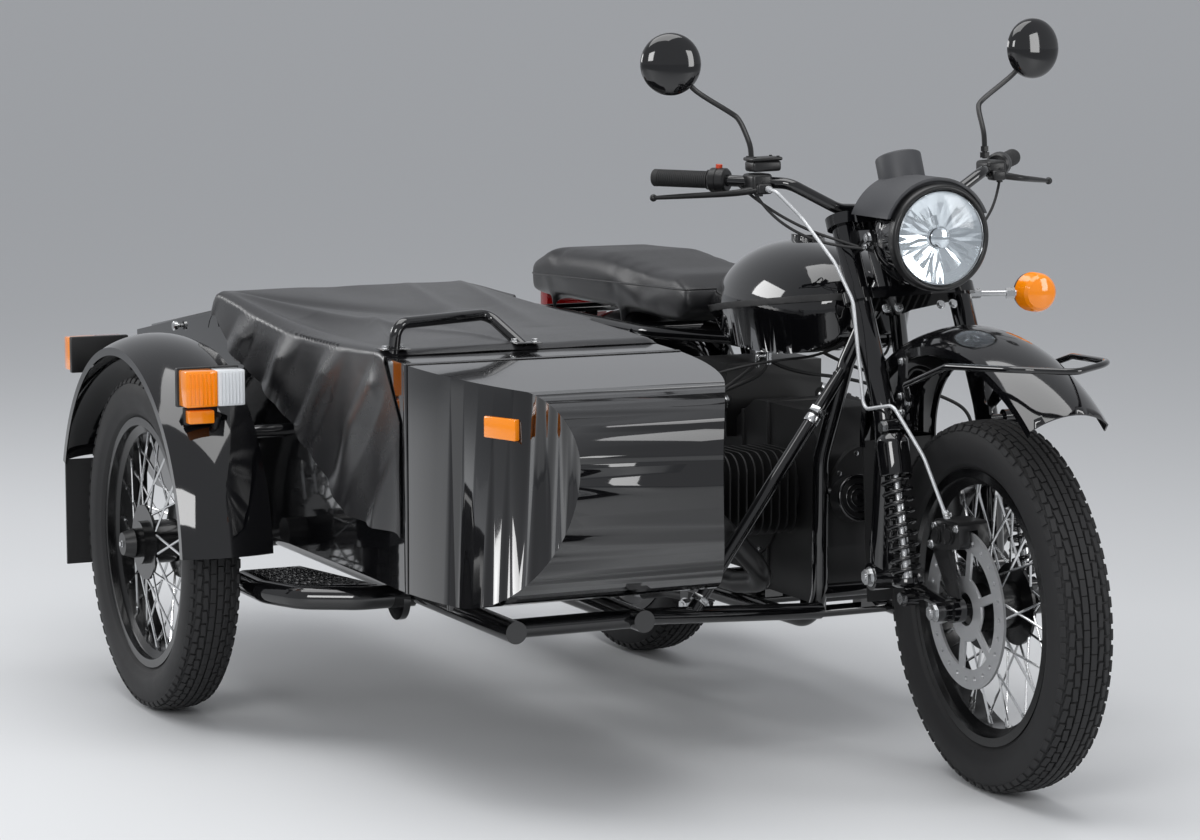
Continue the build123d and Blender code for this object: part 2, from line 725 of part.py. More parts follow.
# Left turn signal on a stalk from the lower clamp
with BuildPart() as turn_signal:
    with Locations(Location((1205, 250, 878), (0, 90, 0))):
        Cylinder(38, 56)
    rod((1190, 225, 878), (leg_x(878) - 2, LEG_HALF_SPREAD + 20, 880), 16)
    add(fork_legs.part, mode=Mode.SUBTRACT)
finish(turn_signal, "left_turn_signal", True)

# Frame: steering head, backbone, two loops under the engine and the rear subframe
LOOP_FRONT_Y = 112.0
LOOP_REAR_Y = 140.0
LOWER_RAIL_Z = 235.0
DOWNTUBE_X = 1020.0
SEAT_RAIL_Y = 128.0
SEAT_RAIL_Z = 740.0
SEAT_RAIL = 26.0
SUBFRAME_CROSS_X = (-260.0, 200.0)
SIDE_BOX_OUTER_Y = 112.0
ENGINE_BOTTOM_Z = 262.0
BACKBONE_DIAMETER = 42.0
BACKBONE_BEND = [80, 200]
BACKBONE = [
    (steer_x(910), 0, 910),
    (970, 0, 806),
    (480, 0, SEAT_RAIL_Z),
    (330, 0, SEAT_RAIL_Z),
]
SWING_PIVOT_X = 385.0
SWING_PIVOT_Z = 345.0
STAND_PIVOT_X = 470.0
STAND_PIVOT_Z = 200.0
STAND_HALF_LENGTH = 118.0
REAR_SHOCK_TOP = (60.0, 155.0, 690.0)
REAR_SHOCK_FOOT = (105.0, 155.0, 352.0)
with BuildPart() as main_frame:
    rod(
        (steer_x(HEAD_TUBE_TOP_Z), 0, HEAD_TUBE_TOP_Z),
        (steer_x(HEAD_TUBE_BOTTOM_Z), 0, HEAD_TUBE_BOTTOM_Z),
        HEAD_TUBE_DIAMETER,
    )
    tube(BACKBONE, BACKBONE_DIAMETER, bend=BACKBONE_BEND)
    for side in (-1, 1):
        tube(
            [
                (steer_x(900) - 18, side * 14, 900),
                (DOWNTUBE_X + 8, side * 62, 745),
                (DOWNTUBE_X, side * LOOP_FRONT_Y, 560),
                (DOWNTUBE_X, side * LOOP_FRONT_Y, LOWER_RAIL_Z),
                (440, side * LOOP_REAR_Y, LOWER_RAIL_Z),
                (380, side * LOOP_REAR_Y, 400),
                (240, side * SEAT_RAIL_Y, SEAT_RAIL_Z),
            ],
            FRAME_TUBE,
            bend=[60, 120, 80, 80, 160],
        )
        tube(
            [
                (480, side * 20, SEAT_RAIL_Z),
                (300, side * SEAT_RAIL_Y, SEAT_RAIL_Z),
                (-270, side * SEAT_RAIL_Y, SEAT_RAIL_Z),
            ],
            SEAT_RAIL,
            bend=90,
        )
        rod((372, side * LOOP_REAR_Y, 430), (110, side * SEAT_RAIL_Y, SEAT_RAIL_Z), 24)
        rod(
            (REAR_SHOCK_TOP[0], side * SEAT_RAIL_Y, SEAT_RAIL_Z),
            (REAR_SHOCK_TOP[0], side * SEAT_RAIL_Y, REAR_SHOCK_TOP[2] - 8),
            22,
        )
        rod(
            (REAR_SHOCK_TOP[0], side * SEAT_RAIL_Y, REAR_SHOCK_TOP[2]),
            (REAR_SHOCK_TOP[0], side * (REAR_SHOCK_TOP[1] - SHOCK_EYE_HALF), REAR_SHOCK_TOP[2]),
            14,
        )
        rod(
            (SWING_PIVOT_X, side * (LOOP_REAR_Y - 16), SWING_PIVOT_Z),
            (SWING_PIVOT_X, side * (LOOP_REAR_Y + 16), SWING_PIVOT_Z),
            56,
        )
        plate(
            [
                (STAND_PIVOT_X - 24, LOWER_RAIL_Z),
                (STAND_PIVOT_X - 14, STAND_PIVOT_Z - 14),
                (STAND_PIVOT_X + 14, STAND_PIVOT_Z - 14),
                (STAND_PIVOT_X + 24, LOWER_RAIL_Z),
            ],
            side * (STAND_HALF_LENGTH + 5.3),
            10,
        )
        rod((194, side * 132, 640), (194, side * SIDE_BOX_OUTER_Y, 640), 14)
    for x in SUBFRAME_CROSS_X:
        rod((x, -SEAT_RAIL_Y, SEAT_RAIL_Z), (x, SEAT_RAIL_Y, SEAT_RAIL_Z), 22)
    for x in (720, 900):
        rod((x, -118, LOWER_RAIL_Z), (x, 118, LOWER_RAIL_Z), 24)
        with Locations((x, -60, ENGINE_BOTTOM_Z - 11), (x, 60, ENGINE_BOTTOM_Z - 11)):
            Box(34, 40, 22)
    rod((440, -LOOP_REAR_Y, LOWER_RAIL_Z), (440, LOOP_REAR_Y, LOWER_RAIL_Z), 28)
    rod((DOWNTUBE_X, -LOOP_FRONT_Y, 300), (DOWNTUBE_X, LOOP_FRONT_Y, 300), 28)
    rod(
        (steer_x(HEAD_TUBE_TOP_Z + 30), 0, HEAD_TUBE_TOP_Z + 30),
        (steer_x(HEAD_TUBE_BOTTOM_Z - 30), 0, HEAD_TUBE_BOTTOM_Z - 30),
        STEM_DIAMETER + 0.1,
        mode=Mode.SUBTRACT,
    )
finish(main_frame, "main_frame")

# Engine and gearbox in one casing between the loops
ENGINE_HALF_WIDTH = 86.0
ENGINE_REAR_X = 424.0
CYLINDER_X = 850.0
CYLINDER_Z = 478.0
CYLINDER_OFFSET = 20.0
CYLINDER_OUTER_Y = 300.0
HEAD_OUTER_Y = 385.0
with BuildPart() as engine_case:
    with BuildSketch(Plane.XZ) as profile:
        with BuildLine():
            Polyline(
                (990, 380),
                (994, 560),
                (900, 640),
                (700, 640),
                (560, 560),
                (440, 520),
                (ENGINE_REAR_X, 412),
                (ENGINE_REAR_X, 288),
                (650, 288),
                (690, ENGINE_BOTTOM_Z),
                (960, ENGINE_BOTTOM_Z),
                close=True,
            )
        make_face()
        fillet(profile.vertices(), 24)
    extrude(amount=ENGINE_HALF_WIDTH, both=True)
    with BuildSketch(Plane.YZ.offset(980)):
        with Locations((0, 500)):
            Circle(78)
    extrude(amount=24)
finish(engine_case, "engine_case")

# Air filter box, standing on the gearbox
with BuildPart() as air_box:
    with Locations((548, 0, 630)):
        Box(146, 220, 150)
    add(engine_case.part, mode=Mode.SUBTRACT)
finish(air_box, "air_box")

FIN_COUNT = 11
SILENCER_Y = 222.0
SILENCER_DIAMETER = 90.0
SILENCER_Z = 298.0
FIN_THICKNESS = 3.5
SIDES = ((1, CYLINDER_X + CYLINDER_OFFSET), (-1, CYLINDER_X - CYLINDER_OFFSET))
with BuildPart() as cylinders:
    for side, x in SIDES:
        with BuildSketch(Plane.XZ.offset(-side * ENGINE_HALF_WIDTH)) as barrel:
            with Locations((x, CYLINDER_Z)):
                Circle(58)
        extrude(barrel.sketch, amount=-side * (CYLINDER_OUTER_Y - ENGINE_HALF_WIDTH))
        pitch = (CYLINDER_OUTER_Y - ENGINE_HALF_WIDTH - 14) / FIN_COUNT
        for fin in range(FIN_COUNT):
            y = side * (ENGINE_HALF_WIDTH + 14 + pitch * (fin + 0.5))
            with BuildSketch(Plane.XZ.offset(-y)) as outline:
                with Locations((x, CYLINDER_Z)):
                    RectangleRounded(172, 166, 40)
            extrude(outline.sketch, amount=FIN_THICKNESS / 2, both=True)
finish(cylinders, "cylinders")

with BuildPart() as heads:
    for side, x in SIDES:
        with BuildSketch(Plane.XZ.offset(-side * CYLINDER_OUTER_Y)) as body:
            with Locations((x, CYLINDER_Z)):
                RectangleRounded(176, 170, 40)
        extrude(body.sketch, amount=-side * 46)
        with BuildSketch(Plane.XZ.offset(-side * (CYLINDER_OUTER_Y + 46))) as cover:
            with Locations((x, CYLINDER_Z)):
                RectangleRounded(150, 150, 44)
        extrude(cover.sketch, amount=-side * (HEAD_OUTER_Y - CYLINDER_OUTER_Y - 46), taper=10)
finish(heads, "cylinder_heads")

with BuildPart() as carburettors:
    for side, x in SIDES:
        rod((x - 80, side * 330, 510), (x - 130, side * 300, 530), 36)
        with Locations((x - 150, side * 288, 545)):
            Cylinder(26, 84)
        rod((x - 160, side * 280, 545), (590, side * 100, 640), 44)
    add(heads.part, mode=Mode.SUBTRACT)
    add(air_box.part, mode=Mode.SUBTRACT)
finish(carburettors, "carburettors")

TAIL_PIPE_RADIUS = 20.0
TAIL_PIPE_WALL = 3.0
with BuildPart() as exhausts:
    for side, x in SIDES:
        tube(
            [
                (x + 72, side * 330, 470),
                (x + 165, side * 330, 452),
                (x + 195, side * SILENCER_Y, 330),
                (x + 60, side * SILENCER_Y, 306),
                (380, side * SILENCER_Y, SILENCER_Z),
                (240, side * SILENCER_Y, SILENCER_Z),
            ],
            42,
            bend=[45, 60, 60, 200],
        )
        with BuildSketch(Plane.XZ.offset(-side * SILENCER_Y)) as silencer:
            with BuildLine():
                Polyline(
                    (268, SILENCER_Z),
                    (268, SILENCER_Z + 22),
                    (205, SILENCER_Z + SILENCER_DIAMETER / 2),
                    (-330, SILENCER_Z + SILENCER_DIAMETER / 2),
                    (-375, SILENCER_Z + TAIL_PIPE_RADIUS),
                    (-415, SILENCER_Z + TAIL_PIPE_RADIUS),
                    (-415, SILENCER_Z + TAIL_PIPE_RADIUS - TAIL_PIPE_WALL),
                    (-345, SILENCER_Z + TAIL_PIPE_RADIUS - TAIL_PIPE_WALL),
                    (-345, SILENCER_Z),
                    close=True,
                )
            make_face()
        revolve(silencer.sketch, axis=Axis((0, side * SILENCER_Y, SILENCER_Z), (1, 0, 0)))
    add(heads.part, mode=Mode.SUBTRACT)
finish(exhausts, "exhausts")

# Fuel tank: lofted teardrop between a few upright sections
TANK_STATIONS = (
    # x, half width, bottom z, top z
    (1005, 70, 800, 905),
    (960, 118, 765, 938),
    (820, 150, 750, 962),
    (680, 142, 755, 950),
    (560, 108, 775, 900),
    (490, 84, 790, 850),
)


def tank_face(x, half_width, bottom, top):
    """An upright section of the tank with rounded shoulders."""
    with BuildSketch(Plane.YZ.offset(x)) as face:
        with BuildLine():
            waist = bottom + (top - bottom) * 0.38
            Line((-half_width + 12, bottom), (half_width - 12, bottom))
            Line((half_width - 12, bottom), (half_width, waist))
            ThreePointArc(
                (half_width, waist),
                (half_width * 0.72, top - (top - waist) * 0.24),
                (0, top),
            )
            ThreePointArc(
                (0, top),
                (-half_width * 0.72, top - (top - waist) * 0.24),
                (-half_width, waist),
            )
            Line((-half_width, waist), (-half_width + 12, bottom))
        make_face()
    return face.sketch.face()


with BuildPart() as tank:
    loft([tank_face(*station) for station in TANK_STATIONS])
    plate(
        [(460, 700), (460, SEAT_RAIL_Z), (970, 806), (1030, 858), (1030, 700)],
        0,
        BACKBONE_DIAMETER + 2 * SEAT_GAP,
        mode=Mode.SUBTRACT,
    )
    tube(BACKBONE, BACKBONE_DIAMETER + 2 * SEAT_GAP, bend=BACKBONE_BEND, mode=Mode.SUBTRACT)
    with Locations((760, 0, 962)):
        Cylinder(34, 26)
finish(tank, "fuel_tank")

# Dual seat on its base
with BuildPart() as seat:
    with BuildSketch(Plane.XZ) as profile:
        with BuildLine():
            Polyline(
                (-300, 775),
                (-300, 842),
                (-200, 880),
                (60, 888),
                (300, 868),
                (430, 866),
                (484, 846),
                (484, 800),
                (440, 775),
                close=True,
            )
        make_face()
        fillet(profile.vertices(), 14)
    extrude(amount=132, both=True)
    for x in (-200, 150):
        for y in (-SEAT_RAIL_Y + 12, SEAT_RAIL_Y - 12):
            rod((x, y, SEAT_RAIL_Z - 6), (x, y, 782), 22)
    add(main_frame.part, mode=Mode.SUBTRACT)
finish(seat, "seat")

# Side boxes under the seat
with BuildPart() as side_boxes:
    for side in (-1, 1):
        with BuildSketch(Plane.XZ.offset(-side * 88)) as panel:
            with BuildLine():
                Polyline((60, 700), (60, 500), (190, 450), (220, 700), close=True)
            make_face()
            fillet(panel.vertices(), 16)
        extrude(amount=-side * 24)
finish(side_boxes, "side_boxes")

# Rear fender, and the tail lamp on its bracket
REAR_FENDER_RADIUS = 440.0
REAR_FENDER_Z = 320.0
with BuildPart() as rear_fender:
    fender_arc((0, 0, REAR_FENDER_Z), REAR_FENDER_RADIUS, 35, 132, 80, 34)
    for x in SUBFRAME_CROSS_X:
        crown_z = REAR_FENDER_Z + sqrt(REAR_FENDER_RADIUS**2 - x**2)
        with Locations((x, 0, (crown_z + SEAT_RAIL_Z) / 2 - 5)):
            Box(20, 30, SEAT_RAIL_Z - crown_z - 6)
    add(main_frame.part, mode=Mode.SUBTRACT)
finish(rear_fender, "rear_fender")

with BuildPart() as tail_lamp:
    with Locations((-345, 0, 748)):
        Box(36, 150, 84)
    with Locations((-298, 0, SEAT_RAIL_Z)):
        Box(76, 60, 14)
    add(main_frame.part, mode=Mode.SUBTRACT)
finish(tail_lamp, "tail_lamp")

# Swinging arm, the drive shaft inside its right leg and the final drive on the hub
SWING_ARM_Y = 108.0
SHAFT_Y = -78.0
with BuildPart() as swing_arm:
    for side in (-1, 1):
        rod(
            (SWING_PIVOT_X, side * SWING_ARM_Y, SWING_PIVOT_Z),
            (-24, side * SWING_ARM_Y, TYRE_RADIUS - 1),
            28,
        )
        rod(
            (SWING_PIVOT_X, side * (SWING_ARM_Y - 19), SWING_PIVOT_Z),
            (SWING_PIVOT_X, side * (LOOP_REAR_Y - 16), SWING_PIVOT_Z),
            50,
        )
        rod(
            (REAR_SHOCK_FOOT[0], side * SWING_ARM_Y, REAR_SHOCK_FOOT[2]),
            (REAR_SHOCK_FOOT[0], side * (REAR_SHOCK_FOOT[1] - SHOCK_EYE_HALF), REAR_SHOCK_FOOT[2]),
            16,
        )
        plate([(364, 352), (370, 292), (400, 292), (406, 352)], side * (SWING_ARM_Y - 6), 14)
    rod((SWING_PIVOT_X, -100, 303), (SWING_PIVOT_X, 100, 303), 24)
    with BuildSketch(Plane.YZ) as drive:
        with BuildLine():
            Polyline(
                (-72, TYRE_RADIUS),
                (-72, TYRE_RADIUS + 75),
                (-92, TYRE_RADIUS + 75),
                (-101, TYRE_RADIUS + 66),
                (-127, TYRE_RADIUS + 58),
                (-139, TYRE_RADIUS + 30),
                (-139, TYRE_RADIUS),
                close=True,
            )
        make_face()
    revolve(drive.sketch, axis=Axis(REAR_AXLE, (0, 1, 0)))
    rod((0, 72, TYRE_RADIUS), (0, 101, TYRE_RADIUS), 70)
    rod((410, SHAFT_Y, 352), (40, SHAFT_Y, 350), 20)
    rod((ENGINE_REAR_X, SHAFT_Y, 352), (400, SHAFT_Y, 352), 66)
    rod((0, -90, TYRE_RADIUS), (0, 132, TYRE_RADIUS), AXLE_DIAMETER)
finish(swing_arm, "rear_swing_arm")

with BuildPart() as rear_shocks:
    for side in (-1, 1):
        shock(REAR_SHOCK_TOP, REAR_SHOCK_FOOT, side, 66, 7)
finish(rear_shocks, "rear_shocks")

with BuildPart() as horn:
    with Locations(Location((1062, -60, 485), (0, 78, 0))):
        Cylinder(45, 34)
    rod((1056, -66, 490), (1022, -106, 500), 12)
    add(main_frame.part, mode=Mode.SUBTRACT)
finish(horn, "horn")

PEG_Z = 350.0
with BuildPart() as foot_pegs:
    for side in (-1, 1):
        rod((560, side * ENGINE_HALF_WIDTH, PEG_Z), (560, side * 240, PEG_Z), 24)
        tube(
            [
                (640, side * ENGINE_HALF_WIDTH, PEG_Z),
                (680, side * 160, PEG_Z),
                (740, side * 205, PEG_Z + 4),
            ],
            12,
            bend=20,
        )
    add(engine_case.part, mode=Mode.SUBTRACT)
finish(foot_pegs, "foot_pegs")

# Sidecar chassis: two long tubes, cross tubes, links to the frame and four rubber mounts
SIDECAR_RAIL_Z = 300.0
SIDECAR_RAIL = 42.0
INNER_RAIL_Y = -560.0
OUTER_RAIL_Y = -820.0
SIDECAR_PIVOT_X = SIDECAR_WHEEL_LEAD - 230.0
SIDECAR_PIVOT_Y = -1050.0
LINK_FRAME_ENDS = ((DOWNTUBE_X, -LOOP_FRONT_Y, 262.0), (420.0, -LOOP_REAR_Y, LOWER_RAIL_Z))
LINK_RAIL_ENDS = ((1105.0, INNER_RAIL_Y, SIDECAR_RAIL_Z), (300.0, INNER_RAIL_Y, SIDECAR_RAIL_Z))
STRUT_TOPS = ((DOWNTUBE_X + 8, -66.0, 735.0), (245.0, -SEAT_RAIL_Y, 722.0))
STRUT_FOOT_Y = (-425.0, -400.0)


def along_link(index, y):
    """The point of a link between frame and sidecar at a y."""
    start, end = Vector(*LINK_FRAME_ENDS[index]), Vector(*LINK_RAIL_ENDS[index])
    return start + (end - start) * ((y - start.Y) / (end.Y - start.Y))


with BuildPart() as sidecar_frame:
    for y in (INNER_RAIL_Y, OUTER_RAIL_Y):
        rod((1160, y, SIDECAR_RAIL_Z), (-420, y, SIDECAR_RAIL_Z), SIDECAR_RAIL)
        for x in (900, -300):
            rod((x, y, SIDECAR_RAIL_Z), (x, y, SIDECAR_FLOOR_Z), 50)
    for x in (1120, 520, -380):
        rod((x, INNER_RAIL_Y, SIDECAR_RAIL_Z), (x, OUTER_RAIL_Y, SIDECAR_RAIL_Z), 36)
    rod(
        (SIDECAR_PIVOT_X, INNER_RAIL_Y, SIDECAR_RAIL_Z),
        (SIDECAR_PIVOT_X, SIDECAR_PIVOT_Y, SIDECAR_RAIL_Z),
        48,
    )
    for frame_end, rail_end in zip(LINK_FRAME_ENDS, LINK_RAIL_ENDS):
        rod(frame_end, rail_end, 32)
    add(main_frame.part, mode=Mode.SUBTRACT)
finish(sidecar_frame, "sidecar_frame")

with BuildPart() as sidecar_struts:
    for index, top in enumerate(STRUT_TOPS):
        rod(top, along_link(index, STRUT_FOOT_Y[index]), 26)
    add(main_frame.part, mode=Mode.SUBTRACT)
    add(sidecar_frame.part, mode=Mode.SUBTRACT)
finish(sidecar_struts, "sidecar_struts")

# Swinging arm of the sidecar wheel
SIDECAR_ARM_Y = -1074.0
with BuildPart() as sidecar_arm:
    rod(
        (SIDECAR_PIVOT_X, SIDECAR_PIVOT_Y, SIDECAR_RAIL_Z),
        (SIDECAR_PIVOT_X, SIDECAR_ARM_Y - 16, SIDECAR_RAIL_Z),
        60,
    )
    tube(
        [
            (SIDECAR_PIVOT_X, SIDECAR_ARM_Y, SIDECAR_RAIL_Z),
            (60, SIDECAR_ARM_Y, 322),
            (SIDECAR_WHEEL_LEAD, SIDECAR_ARM_Y, TYRE_RADIUS),
        ],
        32,
        bend=50,
    )
    rod(
        (SIDECAR_WHEEL_LEAD, SIDECAR_ARM_Y, TYRE_RADIUS),
        (SIDECAR_WHEEL_LEAD, -TRACK - HUB_HALF_LENGTH - 22, TYRE_RADIUS),
        AXLE_DIAMETER,
    )
    rod(
        (SIDECAR_WHEEL_LEAD, SIDECAR_ARM_Y + 18, TYRE_RADIUS),
        (SIDECAR_WHEEL_LEAD, SIDECAR_ARM_Y - 17, TYRE_RADIUS),
        60,
    )
    rod(
        (SIDECAR_WHEEL_LEAD, -TRACK - HUB_HALF_LENGTH - 1, TYRE_RADIUS),
        (SIDECAR_WHEEL_LEAD, -TRACK - HUB_HALF_LENGTH - 22, TYRE_RADIUS),
        60,
        46,
    )
finish(sidecar_arm, "sidecar_arm")

# Sidecar body: the side profile cut across by the plan of a boat's bow
NOSE_TOP_Z = 769.0
NOSE_BELLY_Z = 650.0
DECK_Z = 790.0
CUT_AWAY_X = 1095.0


def body_form(inset, mode=Mode.ADD):
    """The body's outer form, or the space inside it when inset is its wall."""
    low = SIDECAR_FLOOR_Z + inset
    with BuildSketch(Plane.XZ.offset(-SIDECAR_CENTRE_Y)) as side_view:
        with BuildLine():
            rear = SIDECAR_REAR_X + inset
            nose = SIDECAR_NOSE_X - inset
            Line((rear + 30, 400 + inset), (rear, 700 - inset))
            Line((rear, 700 - inset), (-40, DECK_Z - inset))
            Line((-40, DECK_Z - inset), (930, DECK_Z - inset))
            Line((930, DECK_Z - inset), (1380, NOSE_TOP_Z - inset))
            ThreePointArc((1380, NOSE_TOP_Z - inset), (nose - 8, 690), (nose, 640))
            ThreePointArc((nose, 640), (nose - 90, 440), (1200, low))
            Line((1200, low), (rear + 130, low))
            Line((rear + 130, low), (rear + 30, 400 + inset))
        make_face()
    form = extrude(side_view.sketch, amount=400, both=True, mode=Mode.PRIVATE)
    with BuildSketch(Plane.XY.offset(300)) as plan:
        with BuildLine():
            half = SIDECAR_HALF_WIDTH - inset
            y = SIDECAR_CENTRE_Y
            tip = SIDECAR_NOSE_X + 20
            Line((SIDECAR_REAR_X - 20, y - half + 20), (0, y - half))
            Line((0, y - half), (900, y - half + 2))
            ThreePointArc((900, y - half + 2), (1334, y - 212 + inset), (tip, y - 126 + inset))
            Line((tip, y - 126 + inset), (tip, y + 126 - inset))
            ThreePointArc((tip, y + 126 - inset), (1334, y + 212 - inset), (900, y + half - 2))
            Line((900, y + half - 2), (0, y + half))
            Line((0, y + half), (SIDECAR_REAR_X - 20, y + half - 20))
            Line((SIDECAR_REAR_X - 20, y + half - 20), (SIDECAR_REAR_X - 20, y - half + 20))
        make_face()
    cut = extrude(plan.sketch, amount=600, mode=Mode.PRIVATE)
    return form & cut


COCKPIT_REAR_X = -20.0
COCKPIT_FRONT_X = 900.0
BOOT_FRONT_X = -60.0
partition = Pos(-36, SIDECAR_CENTRE_Y, 600) * Box(12, 700, 700)
with BuildPart() as sidecar_body:
    add(body_form(0))
    add(body_form(SIDECAR_WALL), mode=Mode.SUBTRACT)
    add(body_form(SIDECAR_WALL / 2) & partition)
    with Locations(((COCKPIT_REAR_X + COCKPIT_FRONT_X) / 2, SIDECAR_CENTRE_Y, 780)):
        Box(COCKPIT_FRONT_X - COCKPIT_REAR_X, 490, 120, mode=Mode.SUBTRACT)
    with Locations((BOOT_FRONT_X - 250, SIDECAR_CENTRE_Y, 780)):
        Box(500, 440, 160, mode=Mode.SUBTRACT)
finish(sidecar_body, "sidecar_body")

with BuildPart() as boot_lid:
    with BuildSketch(Plane.XZ.offset(-SIDECAR_CENTRE_Y)) as side_view:
        with BuildLine():
            Polyline((-52, 788.4), (-575, 704.4), (-577, 713), (-53, 798), close=True)
        make_face()
    extrude(side_view.sketch, amount=232, both=True)
finish(boot_lid, "boot_lid")

# Grab handle, its feet on the body's deck through the cover
HANDLE_ROUTE = [(915, -958, 790), (925, -955, 850), (830, -730, 850), (918, -690, 790)]
HANDLE_TUBE = 22.0
HANDLE_BEND = 24.0
with BuildPart() as grab_handle:
    tube(HANDLE_ROUTE, HANDLE_TUBE, bend=HANDLE_BEND)
    add(sidecar_body.part, mode=Mode.SUBTRACT)
finish(grab_handle, "grab_handle")

# Tonneau cover: vinyl sheet over the cockpit, with an apron down the right side
APRON_THICKNESS = 5.0
with BuildPart() as tonneau:
    with BuildSketch(Plane.XZ.offset(-SIDECAR_CENTRE_Y)) as side_view:
        with BuildLine():
            Polyline(
                (-30, DECK_Z + SEAT_GAP),
                (-12, 834),
                (20, 838),
                (930, 800),
                (930, DECK_Z + SEAT_GAP),
                (905, DECK_Z + SEAT_GAP),
                (20, 826),
                (-14, DECK_Z + SEAT_GAP),
                close=True,
            )
        make_face()
    extrude(side_view.sketch, amount=SIDECAR_HALF_WIDTH + APRON_THICKNESS, both=True)
    plate(
        [(-20, 822), (925, 800), (1010, 700), (1000, 470), (705, 470), (494, 603), (120, 720)],
        SIDECAR_CENTRE_Y - SIDECAR_HALF_WIDTH - SEAT_GAP - APRON_THICKNESS / 2,
        APRON_THICKNESS,
    )
    plate(
        [(-20, 822), (925, 800), (1000, 775), (990, 760), (0, 760)],
        SIDECAR_CENTRE_Y + SIDECAR_HALF_WIDTH + SEAT_GAP + APRON_THICKNESS / 2,
        APRON_THICKNESS,
    )
    add(body_form(-SEAT_GAP), mode=Mode.SUBTRACT)
    tube(HANDLE_ROUTE, HANDLE_TUBE + 6, bend=HANDLE_BEND, mode=Mode.SUBTRACT)
finish(tonneau, "tonneau_cover")

with BuildPart() as reflector:
    with Locations(Location((1325, SIDECAR_CENTRE_Y - 214, 701), (0, 0, 19))):
        Box(80, 24, 38)
    add(body_form(0), mode=Mode.SUBTRACT)
finish(reflector, "side_reflector")

# Sidecar wheel's fender, its flap and its lamps
SIDECAR_FENDER_RADIUS = 425.0
SIDECAR_FENDER_Y = -1153.0
SIDECAR_FENDER_HALF_WIDTH = 93.0
with BuildPart() as sidecar_fender:
    fender_arc(
        tuple(Vector(SIDECAR_WHEEL_LEAD, SIDECAR_FENDER_Y, TYRE_RADIUS)),
        SIDECAR_FENDER_RADIUS,
        4,
        158,
        SIDECAR_FENDER_HALF_WIDTH,
        26,
    )
    for x in (-288, 288):
        rod(
            (SIDECAR_WHEEL_LEAD + x, SIDECAR_FENDER_Y + SIDECAR_FENDER_HALF_WIDTH - 2, 596),
            (SIDECAR_WHEEL_LEAD + x, SIDECAR_CENTRE_Y - SIDECAR_HALF_WIDTH + 20, 596),
            26,
        )
    add(body_form(0), mode=Mode.SUBTRACT)
finish(sidecar_fender, "sidecar_fender")

with BuildPart() as sidecar_flap:
    with BuildSketch(Plane.YZ.offset(-232)):
        with Locations((SIDECAR_FENDER_Y, 357)):
            Rectangle(2 * (SIDECAR_FENDER_HALF_WIDTH - FENDER_SHEET - SEAT_GAP), 224)
    extrude(amount=3, both=True)
finish(sidecar_flap, "sidecar_mud_flap")

with BuildPart() as fender_lamps:
    wheel = Vector(SIDECAR_WHEEL_LEAD, SIDECAR_FENDER_Y, TYRE_RADIUS)
    for lamp in (Vector(478, SIDECAR_FENDER_Y, 695), Vector(-262, SIDECAR_FENDER_Y, 690)):
        with Locations(lamp):
            Box(70, 165, 76)
        rod(lamp, wheel + (lamp - wheel).normalized() * (SIDECAR_FENDER_RADIUS - 1), 30)
    add(sidecar_fender.part, mode=Mode.SUBTRACT)
finish(fender_lamps, "fender_lamps")

# Step: a bent tube round the foot boards, clamped to the outer rail
STEP_Z = 292.0
STEP_TUBE = 46.0
with BuildPart() as step:
    tube(
        [
            (390, -1068, STEP_Z),
            (520, -1068, STEP_Z),
            (610, -1030, STEP_Z),
            (666, -930, STEP_Z),
            (668, OUTER_RAIL_Y, STEP_Z),
        ],
        STEP_TUBE,
        bend=[70, 70, 70],
    )
    rod((668, OUTER_RAIL_Y - 24, STEP_Z), (668, OUTER_RAIL_Y - 38, STEP_Z), 94)
    with BuildSketch(Plane.XY.offset(STEP_Z + 18)) as board:
        with BuildLine():
            Polyline((390, -950), (655, -890), (612, -1010), (530, -1068), (390, -1068), close=True)
        make_face()
    extrude(board.sketch, amount=5)
    add(sidecar_frame.part, mode=Mode.SUBTRACT)
finish(step, "side_step")

# Centre stand, folded up behind the engine
STAND_LEG = 180.0
with BuildPart() as centre_stand:
    rod(
        (STAND_PIVOT_X, -STAND_HALF_LENGTH, STAND_PIVOT_Z),
        (STAND_PIVOT_X, STAND_HALF_LENGTH, STAND_PIVOT_Z),
        24,
    )
    for side in (-1, 1):
        tube(
            [
                (STAND_PIVOT_X, side * 104, STAND_PIVOT_Z),
                (STAND_PIVOT_X - 120, side * 110, STAND_PIVOT_Z - 8),
                (STAND_PIVOT_X - STAND_LEG, side * 134, STAND_PIVOT_Z - 20),
            ],
            24,
            bend=80,
        )
    rod((STAND_PIVOT_X - 120, -110, STAND_PIVOT_Z - 8), (STAND_PIVOT_X - 120, 110, STAND_PIVOT_Z - 8), 18)
finish(centre_stand, "centre_stand")
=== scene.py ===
import json
from math import cos, exp, pi, radians, sin, sqrt, tau

import bpy
from mathutils import Matrix, Vector, noise

